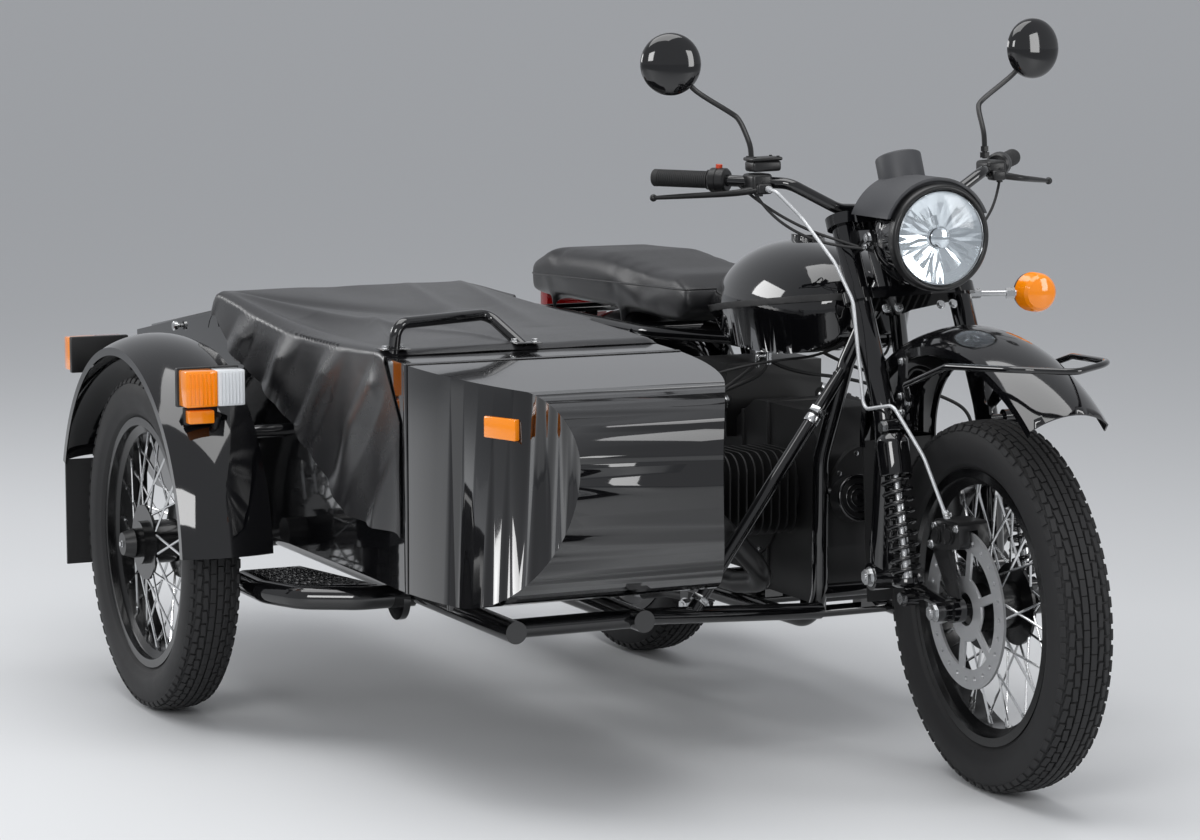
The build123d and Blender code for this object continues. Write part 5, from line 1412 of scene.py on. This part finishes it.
controls, blades = [], []
for side, tip in ((-1, (850, -389, 1072)), (1, (1010, 389, 1073))):
    y = side * STEM_Y
    controls.append(steered_block((1004, y - 21, 1090), (1058, y + 21, 1122), 0.007))
    controls.append(steered_block((1040, y - 15, 1084), (1068, y + 15, 1104), 0.005))
    pivot = Vector((1056, side * 256, 1094))
    reach = Vector(tip) - pivot
    bow = Vector((26, side * 4, -2))
    line = [
        pivot,
        pivot + reach * 0.12 + bow * 0.5,
        pivot + reach * 0.3 + bow,
        pivot + reach * 0.55 + bow * 0.65,
        pivot + reach * 0.8 + bow * 0.25,
        Vector(tip),
    ]
    blade = path_tube(
        [steered(*p) for p in line], 0.0066, (1.15, 1.05, 0.9, 0.85, 0.75, 0.6), sides=4
    )
    blades.append(blade)
    bpy.ops.mesh.primitive_uv_sphere_add(segments=20, ring_count=14, radius=0.0072)
    bpy.context.object.location = steered(*tip)
    blades.append(bpy.context.object)
    pin = cylinder_between(steered(1054, side * 256, 1080), steered(1054, side * 256, 1108), 0.006)
    blades.append(pin)
controls.append(steered_block((1014, -269, 1126), (1058, -211, 1146), 0.005))
controls.append(steered_block((1012, -271, 1146), (1060, -209, 1153), 0.003))
for x, y in ((1019, -264), (1019, -216), (1053, -264), (1053, -216)):
    controls.append(cylinder_between(steered(x, y, 1152), steered(x, y, 1155), 0.003, 12))
assembled(controls, 32, "lever_perches", satin_black, "fork", "satin_black", ("levers",))
assembled(blades, 40, "lever_blades", satin_black, "fork", "satin_black")

# Front brake: a drilled steel disc, ground bright in rings, and a black painted caliper with two
# piston caps, carried by the link. A braided hose with crimped ends feeds it.
disc_steel = finish_of(
    "disc_steel",
    hex_colour(0xC6C7C9),
    {"Gloss Low": 0.34, "Gloss High": 0.46, "Relief Scale": 900.0, "Dust": 0.05},
    0.00003,
    metallic=0.75,
)
coat_node(disc_steel, "front_brake_disc")
hose_braid = finish_of(
    "hose_braid",
    hex_colour(0xD2D4D6),
    {"Gloss Low": 0.3, "Gloss High": 0.42, "Relief Scale": 2200.0, "Dust": 0.05},
    0.0002,
    metallic=0.45,
)
coat_node(hose_braid, "brake_hose")
softened("brake_caliper", "caliper_body", satin_black, "fork", "satin_black", 0.003, 40, 3)
caps = []
for x, z in ((1452, 476), (1500, 482)):
    for y0, y1, radius in ((-94, -99, 0.0165), (-99, -101, 0.0120)):
        caps.append(cylinder_between(steered(x, y0 + 0.4, z), steered(x, y1, z), radius, 32))
caps.append(steered_block((1470, -98, 462), (1484, -93.6, 500), 0.002))
assembled(caps, 32, "caliper_caps", satin_black, "fork", "satin_black")

# Bolts: zinc plated steel, a hexagon head on a washer with the thread's end standing out. They are
# where one piece is held to the next, on the fork, the caliper, the frame and the cover.
PAIRED_BOLTS = (
    # x, y to each side, z, way the left one points, head radius in mm, body
    (1207, 103.6, 1003, (0, 1, 0), 9, "fork"),
    (1193, 103.6, 985, (0, 1, 0), 5, "fork"),
    (1208, 70, 868, (0.9, 0, 0.44), 7, "fork"),
    (1208, 44, 868, (0.9, 0, 0.44), 7, "fork"),
    (1264, 141.5, 372, (0, 1, 0), 15, "fork"),
    (1500, 128.5, 343, (0, 1, 0), 14, "fork"),
    (1289, 84.4, 712, (0, 1, 0), 6, "fork"),
    (1296, 84.4, 778, (0, 1, 0), 6, "fork"),
    (1341, 94.6, 706, (0, 1, 0), 6, "fork"),
    (1310, 94.6, 684, (0, 1, 0), 6, "fork"),
    (385, 157, 345, (0, 1, 0), 13, "chassis"),
    (545, 97, 410, (0, 1, 0), 9, "chassis"),
)
SINGLE_BOLTS = (
    # x, y, z, way it points, head radius in mm, body
    (1425, -94.2, 455, (0, -1, 0), 7, "fork"),
    (1440, -94.2, 492, (0, -1, 0), 6, "fork"),
    (1524, -94.2, 497, (0, -1, 0), 6, "fork"),
    (1462, -80.5, 512, (0, 0, 1), 6, "fork"),
    (142, -1239.2, 343, (0, -1, 0), 5.5, "chassis"),
    (0, 132.5, 343, (0, 1, 0), 15, "chassis"),
    (887, -337, 270, (0.3, -0.9, 0), 11, "chassis"),
    (909, -306, 270, (0.3, -0.9, 0), 11, "chassis"),
    (364, -1092, 300, (0.5, -0.85, 0), 8, "chassis"),
    (915, -975, 803.5, (0, 0, 1), 6, "chassis"),
    (903, -938, 803.8, (0, 0, 1), 6, "chassis"),
    (918, -672, 803.5, (0, 0, 1), 6, "chassis"),
    (903, -708, 803.8, (0, 0, 1), 6, "chassis"),
    (138, -112.5, 655, (0, -1, 0), 8, "chassis"),
    (138, 111.5, 655, (0, 1, 0), 8, "chassis"),
    (1029, -79, 722, (0.1, -1, 0), 10, "chassis"),
    (247, -141, 712, (0, -1, 0), 9, "chassis"),
)
BOLTS = [*SINGLE_BOLTS, *PAIRED_BOLTS]
for x, y, z, way, radius, body in PAIRED_BOLTS:
    BOLTS.append((x, -y, z, (way[0], -way[1], way[2]), radius, body))
heads = {}
for x, y, z, way, radius, body in BOLTS:
    spot = steered(x, y, z) if body == "fork" else at(x, y, z)
    way = Vector(way).normalized()
    if body == "fork":
        way = PARKED.to_3x3() @ way
    size = radius / 1000
    for depth, rise, width, sides in (
        # the washer, the hexagon head and the end of the thread
        (0.0016, 0.0006, size * 1.28, 28),
        (size * 0.72, size * 0.36 + 0.0012, size, 6),
        (size * 0.3, size * 0.80, size * 0.5, 16),
    ):
        bpy.ops.mesh.primitive_cylinder_add(vertices=sides, radius=width, depth=depth)
        part = place_along(bpy.context.object, spot + way * rise, way)
        heads.setdefault(body, []).append(part)
for body, parts in heads.items():
    bolts = joined(parts)
    edge = bolts.modifiers.new("edge", "BEVEL")
    edge.width = 0.0004
    edge.segments = 1
    edge.limit_method = "ANGLE"
    apply_all(bolts)
    smooth(bolts, 25)
    settle(bolts, f"{body}_bolts", bright_zinc, body, "zinc")


# Strips: rubber knee strips along the tank, and a rolled bead round the sidecar's nose in front of
# the cockpit. Both lie on the panels, so they are cut from copies of them.
def band(panel, name, point, normal, width, thickness, material, body, slot):
    """A strip of a panel between two planes that are a width apart, thickened outwards."""
    only(bpy.data.objects[panel])
    bpy.ops.object.duplicate()
    piece = bpy.context.object
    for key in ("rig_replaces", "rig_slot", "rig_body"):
        if key in piece:
            del piece[key]
    piece.parent = None
    normal = Vector(normal).normalized()
    bpy.ops.object.mode_set(mode="EDIT")
    for sign in (-1, 1):
        bpy.ops.mesh.select_all(action="SELECT")
        bpy.ops.mesh.bisect(
            plane_co=Vector(point) + normal * sign * width / 2,
            plane_no=normal * sign,
            clear_outer=True,
        )
    bpy.ops.object.mode_set(mode="OBJECT")
    thick = piece.modifiers.new("thick", "SOLIDIFY")
    thick.thickness = thickness
    thick.offset = 1.0
    thick.use_even_offset = False
    edge = piece.modifiers.new("edge", "BEVEL")
    edge.width = thickness * 0.35
    edge.segments = 2
    edge.limit_method = "ANGLE"
    edge.angle_limit = radians(50)
    apply_all(piece)
    smooth(piece, 40)
    return settle(piece, name, material, body, slot)


band(
    "sidecar_body_panel",
    "body_bead",
    at(1029, 0, 0),
    (1, 0, 0),
    0.014,
    0.0025,
    gloss_black,
    "chassis",
    "gloss_black",
)
band(
    "fuel_tank_panel",
    "tank_strip",
    at(818, 0, 847),
    (-0.126, 0, 0.992),
    0.013,
    0.0032,
    black_rubber,
    "chassis",
    "black_rubber",
)

# Fuel tap and leads: a zinc plated tap screwed into the tank, rubber hoses from it towards the
# carburettors, and rubber leads with caps to the spark plugs.
TAP_X = 722
TAP_Y = -70
tap_parts = [
    cylinder_between(at(TAP_X, TAP_Y, 757), at(TAP_X, TAP_Y, 742), 0.011, 28),
    cylinder_between(at(TAP_X, TAP_Y, 744), at(TAP_X, TAP_Y, 712), 0.0085, 28),
    cylinder_between(at(TAP_X, TAP_Y - 8, 730), at(TAP_X, TAP_Y - 22, 730), 0.0075, 24),
    block((TAP_X - 6, TAP_Y - 25, 706), (TAP_X + 6, TAP_Y - 21, 732), 0.0015),
]
assembled(tap_parts, 30, "fuel_tap", bright_zinc, "chassis", "zinc")
LEAD_Y = 352
LEAD_RADIUS = 0.0036
FUEL_HOSE_RADIUS = 0.0038
LEADS = (
    # side, x that the lead and the hose are laid out from
    (-1, 870),
    (1, 830),
)
leads = []
for side, x in LEADS:
    plug_lead = [
        at(x - 10, side * LEAD_Y, 566),
        at(x - 14, side * LEAD_Y, 596),
        at(x - 30, side * 318, 628),
        at(x - 90, side * 210, 668),
        at(x - 140, side * 110, 706),
        at(x - 150, side * 62, 735),
    ]
    leads.append(path_tube(plug_lead, LEAD_RADIUS))
    cap_foot, cap_top = at(x - 10, side * LEAD_Y, 556), at(x - 11, side * LEAD_Y, 584)
    leads.append(cylinder_between(cap_foot, cap_top, 0.0095, 24))
    fuel_hose = [
        at(TAP_X, TAP_Y if side < 0 else TAP_Y + 12, 716),
        at(TAP_X, TAP_Y - 4 if side < 0 else TAP_Y + 50, 694),
        at(x - 150, side * 150, 668),
        at(x - 156, side * 262, 630),
        at(x - 152, side * 286, 588),
    ]
    leads.append(path_tube(fuel_hose, FUEL_HOSE_RADIUS))
assembled(leads, 40, "leads_and_hoses", black_rubber, "chassis", "black_rubber")

# Control cables: plain black outers of wound steel under rubber. They run from the perches and
# the right grip to the lamp bowl, and turn with the bars.
CABLE_RADIUS = 0.0028
CABLE_ROUTES = (
    ((1044, -262, 1086), (1064, -246, 1050), (1098, -196, 1006), (1150, -140, 984), (1186, -92, 980)),
    ((1000, -276, 1100), (1036, -244, 1062), (1084, -180, 1016), (1140, -120, 990), (1180, -80, 974)),
    ((1044, 262, 1086), (1070, 240, 1046), (1108, 190, 1004), (1156, 138, 984), (1188, 92, 980)),
)
cables = [path_tube([steered(*p) for p in route], CABLE_RADIUS) for route in CABLE_ROUTES]
assembled(cables, 60, "control_cables", black_rubber, "fork", "black_rubber")

# Step board: steel plate with pressed lozenges, sprayed black like the bent tube that it is
# screwed on. Only the lozenges are made here, on the plate of the frame.
LOZENGE_PITCH = 21
LOZENGE_ROWS = 14
LOZENGE_COLUMNS = 16
LOZENGE_MARGIN = 9
BOARD_TOP = 315
BOARD = ((390, -950), (655, -890), (612, -1010), (530, -1068), (390, -1068))


def inside(x, y, outline, margin):
    """Whether a point lies in a convex outline, by a margin, whichever way the outline turns."""
    signs = set()
    for (x0, y0), (x1, y1) in zip(outline, outline[1:] + outline[:1]):
        length = sqrt((x1 - x0) ** 2 + (y1 - y0) ** 2)
        off = ((x1 - x0) * (y - y0) - (y1 - y0) * (x - x0)) / length
        if abs(off) < margin:
            return False
        signs.add(off > 0)
    return len(signs) == 1


lozenges = []
for row in range(LOZENGE_ROWS):
    for column in range(LOZENGE_COLUMNS):
        x = 392 + column * LOZENGE_PITCH + (row % 2) * LOZENGE_PITCH / 2
        y = -1066 + row * LOZENGE_PITCH * 0.62
        if not inside(x, y, BOARD, LOZENGE_MARGIN):
            continue
        bpy.ops.mesh.primitive_uv_sphere_add(segments=12, ring_count=6, radius=0.5)
        lozenge = bpy.context.object
        lozenge.scale = (0.019, 0.0062, 0.0032)
        lozenge.rotation_euler = (0, 0, radians(45 if (row + column) % 2 else -45))
        lozenge.location = at(x, y, BOARD_TOP)
        lozenges.append(lozenge)
assembled(lozenges, 60, "step_studs", gloss_black, "chassis", "gloss_black")

# Handle's feet and boot catches: black steel plates that the handle is bolted down with, over the
# cover, and zinc plated knobs on both sides of the boot.
feet = [
    block((890, -985, 801.4), (936, -930, 803.6), 0.001),
    block((890, -716, 801.4), (936, -664, 803.6), 0.001),
]
assembled(feet, 30, "handle_feet", gloss_black, "chassis", "gloss_black")
KNOB_SECTION = (
    (0.0, 0.0),
    (0.005, 0.0),
    (0.005, 0.006),
    (0.010, 0.007),
    (0.0105, 0.014),
    (0.008, 0.016),
    (0.0, 0.016),
)
knobs = []
for side in (-1, 1):
    on_body = at(-268, -703 + side * 269, 739)
    knobs.append(place_along(lathe(KNOB_SECTION, 28), on_body, (0, side, 0)))
assembled(knobs, 30, "boot_catches", bright_zinc, "chassis", "zinc")

# Engine fittings: cast ribs and bolts on the valve covers, joint flanges and round covers on the
# cases, finned nuts where the pipes meet the heads, and rubber ducts, caps and clamps on the
# carburettors. The cast pieces are black, the fasteners zinc plated.
CYLINDERS = (
    # side, x of its middle
    (1, 870),
    (-1, 830),
)
CYLINDER_Z = 478
CASE_HALF_WIDTH = 86
COVER_FACE = 91
CARBURETTOR_BACK = 150
CARBURETTOR_Y = 288
SMALL_BOLT_RADIUS = 0.0048
castings, fasteners, rubbers, bowls = [], [], [], []


def standing(spot, way, height, radius, sides):
    """A disc, or a head with six sides, that stands on a place."""
    return cylinder_between(spot, spot + way * height, radius, sides)


# Joint flanges of the cases
for low, high in (((756, -90, 266), (764, 90, 644)), ((648, -90, 290), (656, 90, 615))):
    castings.append(block(low, high, 0.0015))

# Round covers on both sides of the cases, with their bolts; two bolts of the small one would be
# under the large one, so it has four
ROUND_COVERS = (
    # x, z, radius in metres, rise
    (700, 430, 0.104, 5),
    (545, 410, 0.078, 5),
    (545, 410, 0.030, 10),
)
BOLT_RINGS = (
    # x, z, radius, bolts, angle of the first, angle between two
    (700, 430, 96, 8, 22, 45),
    (545, 410, 69, 4, 90, 60),
)
for side in (1, -1):
    out = Vector((0, side, 0))
    for x, z, radius, rise in ROUND_COVERS:
        inner, outer = at(x, side * 80, z), at(x, side * (CASE_HALF_WIDTH + rise), z)
        castings.append(cylinder_between(inner, outer, radius, 72))
    for x, z, radius, count, first, between in BOLT_RINGS:
        for turn in range(count):
            angle = radians(turn * between + first)
            spot = at(x + radius * cos(angle), side * COVER_FACE, z + radius * sin(angle))
            fasteners.append(standing(spot, out, 0.0045, SMALL_BOLT_RADIUS, 6))
for turn in range(8):
    angle = radians(turn * 45 + 22)
    spot = at(1003, 69 * cos(angle), 500 + 69 * sin(angle))
    fasteners.append(standing(spot, Vector((1, 0, 0)), 0.0055, 0.0052, 6))

# Valve covers: four ribs and a nut on a washer on each face, and the heads' studs behind it
RIB_SPACING = 21
for side, x in CYLINDERS:
    out = Vector((0, side, 0))
    low_y, high_y = sorted((side * 383, side * 389))
    for step in (-2, -1, 1, 2):
        rib_x = x + step * RIB_SPACING
        castings.append(block((rib_x - 3.2, low_y, 430), (rib_x + 3.2, high_y, 526), 0.0014))
    nut = at(x, side * 384, CYLINDER_Z)
    fasteners.append(standing(nut, out, 0.003, 0.0125, 32))
    fasteners.append(standing(nut, out, 0.0105, 0.0088, 6))
    for across, up in ((81.5, 34), (81.5, -34), (40, 80), (40, -80)):
        for sign in (-1, 1):
            stud = at(x + sign * across, side * 345.5, CYLINDER_Z + up)
            fasteners.append(standing(stud, out, 0.0055, SMALL_BOLT_RADIUS, 6))

# Finned nuts of the exhaust pipes
PIPE_WAY = Vector((0.982, 0, -0.19))
for side, x in CYLINDERS:
    pipe = at(x + 88, side * 330, 467)
    castings.append(standing(pipe, PIPE_WAY, 0.027, 0.0255, 40))
    for fin in range(5):
        root = pipe + PIPE_WAY * (0.002 + fin * 0.0055)
        castings.append(standing(root, PIPE_WAY, 0.0024, 0.0305, 48))

# Carburettors: top, ring, adjuster, float bowl and drain plug, with the throttle's cable
CARBURETTOR_PARTS = (
    # where it goes, heights of its two ends, radius, sides
    (castings, 584, 599, 0.0215, 40),
    (fasteners, 583, 588, 0.0272, 40),
    (fasteners, 598, 608, 0.0046, 6),
    (bowls, 499, 517, 0.0305, 44),
    (fasteners, 492, 500, 0.0072, 6),
)
for side, x in CYLINDERS:
    place = (x - CARBURETTOR_BACK, side * CARBURETTOR_Y)
    for group, low, high, radius, sides in CARBURETTOR_PARTS:
        group.append(cylinder_between(at(*place, low), at(*place, high), radius, sides))
    throttle_cable = [
        at(*place, 604),
        at(x - 148, side * 286, 632),
        at(x - 110, side * 232, 690),
        at(x - 30, side * 120, 728),
        at(960, side * 70, 752),
        at(1000, side * 52, 782),
    ]
    rubbers.append(path_tube(throttle_cable, 0.0027))

# Ducts from the air box, ridged in the middle and clamped at both ends, and the heads' stubs
for side, x in CYLINDERS:
    mouth, box_end = at(x - 165, side * 276, 547.6), at(598, side * 104, 635.8)
    rubbers.append(cylinder_between(mouth, box_end, 0.0238, 40))
    for ridge in range(5):
        near, far = 0.34 + ridge * 0.08, 0.375 + ridge * 0.08
        ends = (mouth.lerp(box_end, near), mouth.lerp(box_end, far))
        rubbers.append(cylinder_between(*ends, 0.0262, 40))
    for share in (0.05, 0.9):
        ends = (mouth.lerp(box_end, share), mouth.lerp(box_end, share + 0.045))
        fasteners.append(cylinder_between(*ends, 0.0252, 40))
    stub = (at(x - 98, side * 319.2, 517.2), at(x - 106, side * 314.4, 520.4))
    fasteners.append(cylinder_between(*stub, 0.0196, 40))

# Ridged rubbers on the foot pegs
for side in (1, -1):
    rubbers.append(cylinder_between(at(560, side * 152, 350), at(560, side * 237, 350), 0.0148, 32))
    for ridge in range(9):
        foot = at(560, side * (156 + ridge * 9), 350)
        rubbers.append(standing(foot, Vector((0, side, 0)), 0.0045, 0.0168, 32))

# Adjusting nuts and sleeves on the two upper struts of the sidecar
for top, foot in (
    (at(1028, -66, 735), at(1079.4, -425, 288.6)),
    (at(245, -128, 722), at(345.7, -400, 275.2)),
):
    for share, radius, length, sides in (
        (0.17, 0.0188, 0.012, 6),
        (0.20, 0.0155, 0.016, 32),
        (0.93, 0.0188, 0.012, 6),
    ):
        way = (foot - top).normalized()
        fasteners.append(standing(top.lerp(foot, share), way, length, radius, sides))
for parts, name, material, slot, round_edge in (
    (castings, "engine_castings", engine_black, "engine_black", 0.0007),
    (fasteners, "engine_fasteners", bright_zinc, "zinc", 0.0005),
    (bowls, "float_bowls", cast_alloy, "cast_alloy", 0.003),
    (rubbers, "ducts_and_pegs", black_rubber, "black_rubber", 0.0),
):
    piece = joined(parts)
    if round_edge:
        edge = piece.modifiers.new("edge", "BEVEL")
        edge.width = round_edge
        edge.segments = 2
        edge.limit_method = "ANGLE"
        edge.angle_limit = radians(50)
        apply_all(piece)
    smooth(piece, 32)
    settle(piece, name, material, "chassis", slot)

# Horn: a pressed disc horn behind the front wheel, with a rolled rim, a stepped diaphragm and a
# nut in its middle.
HORN_WAY = Vector((0.978, 0, 0.208))
HORN_FACE = at(1078.4, -60, 488.5)
horn_parts = []
for major, minor in ((0.0418, 0.0042), (0.027, 0.0024), (0.0165, 0.0018)):
    bpy.ops.mesh.primitive_torus_add(
        major_radius=major, minor_radius=minor, major_segments=64, minor_segments=10
    )
    horn_parts.append(place_along(bpy.context.object, HORN_FACE, HORN_WAY))
horn_parts.append(standing(HORN_FACE, HORN_WAY, 0.006, 0.0085, 6))
assembled(horn_parts, 40, "horn_rings", gloss_black, "chassis", "gloss_black")
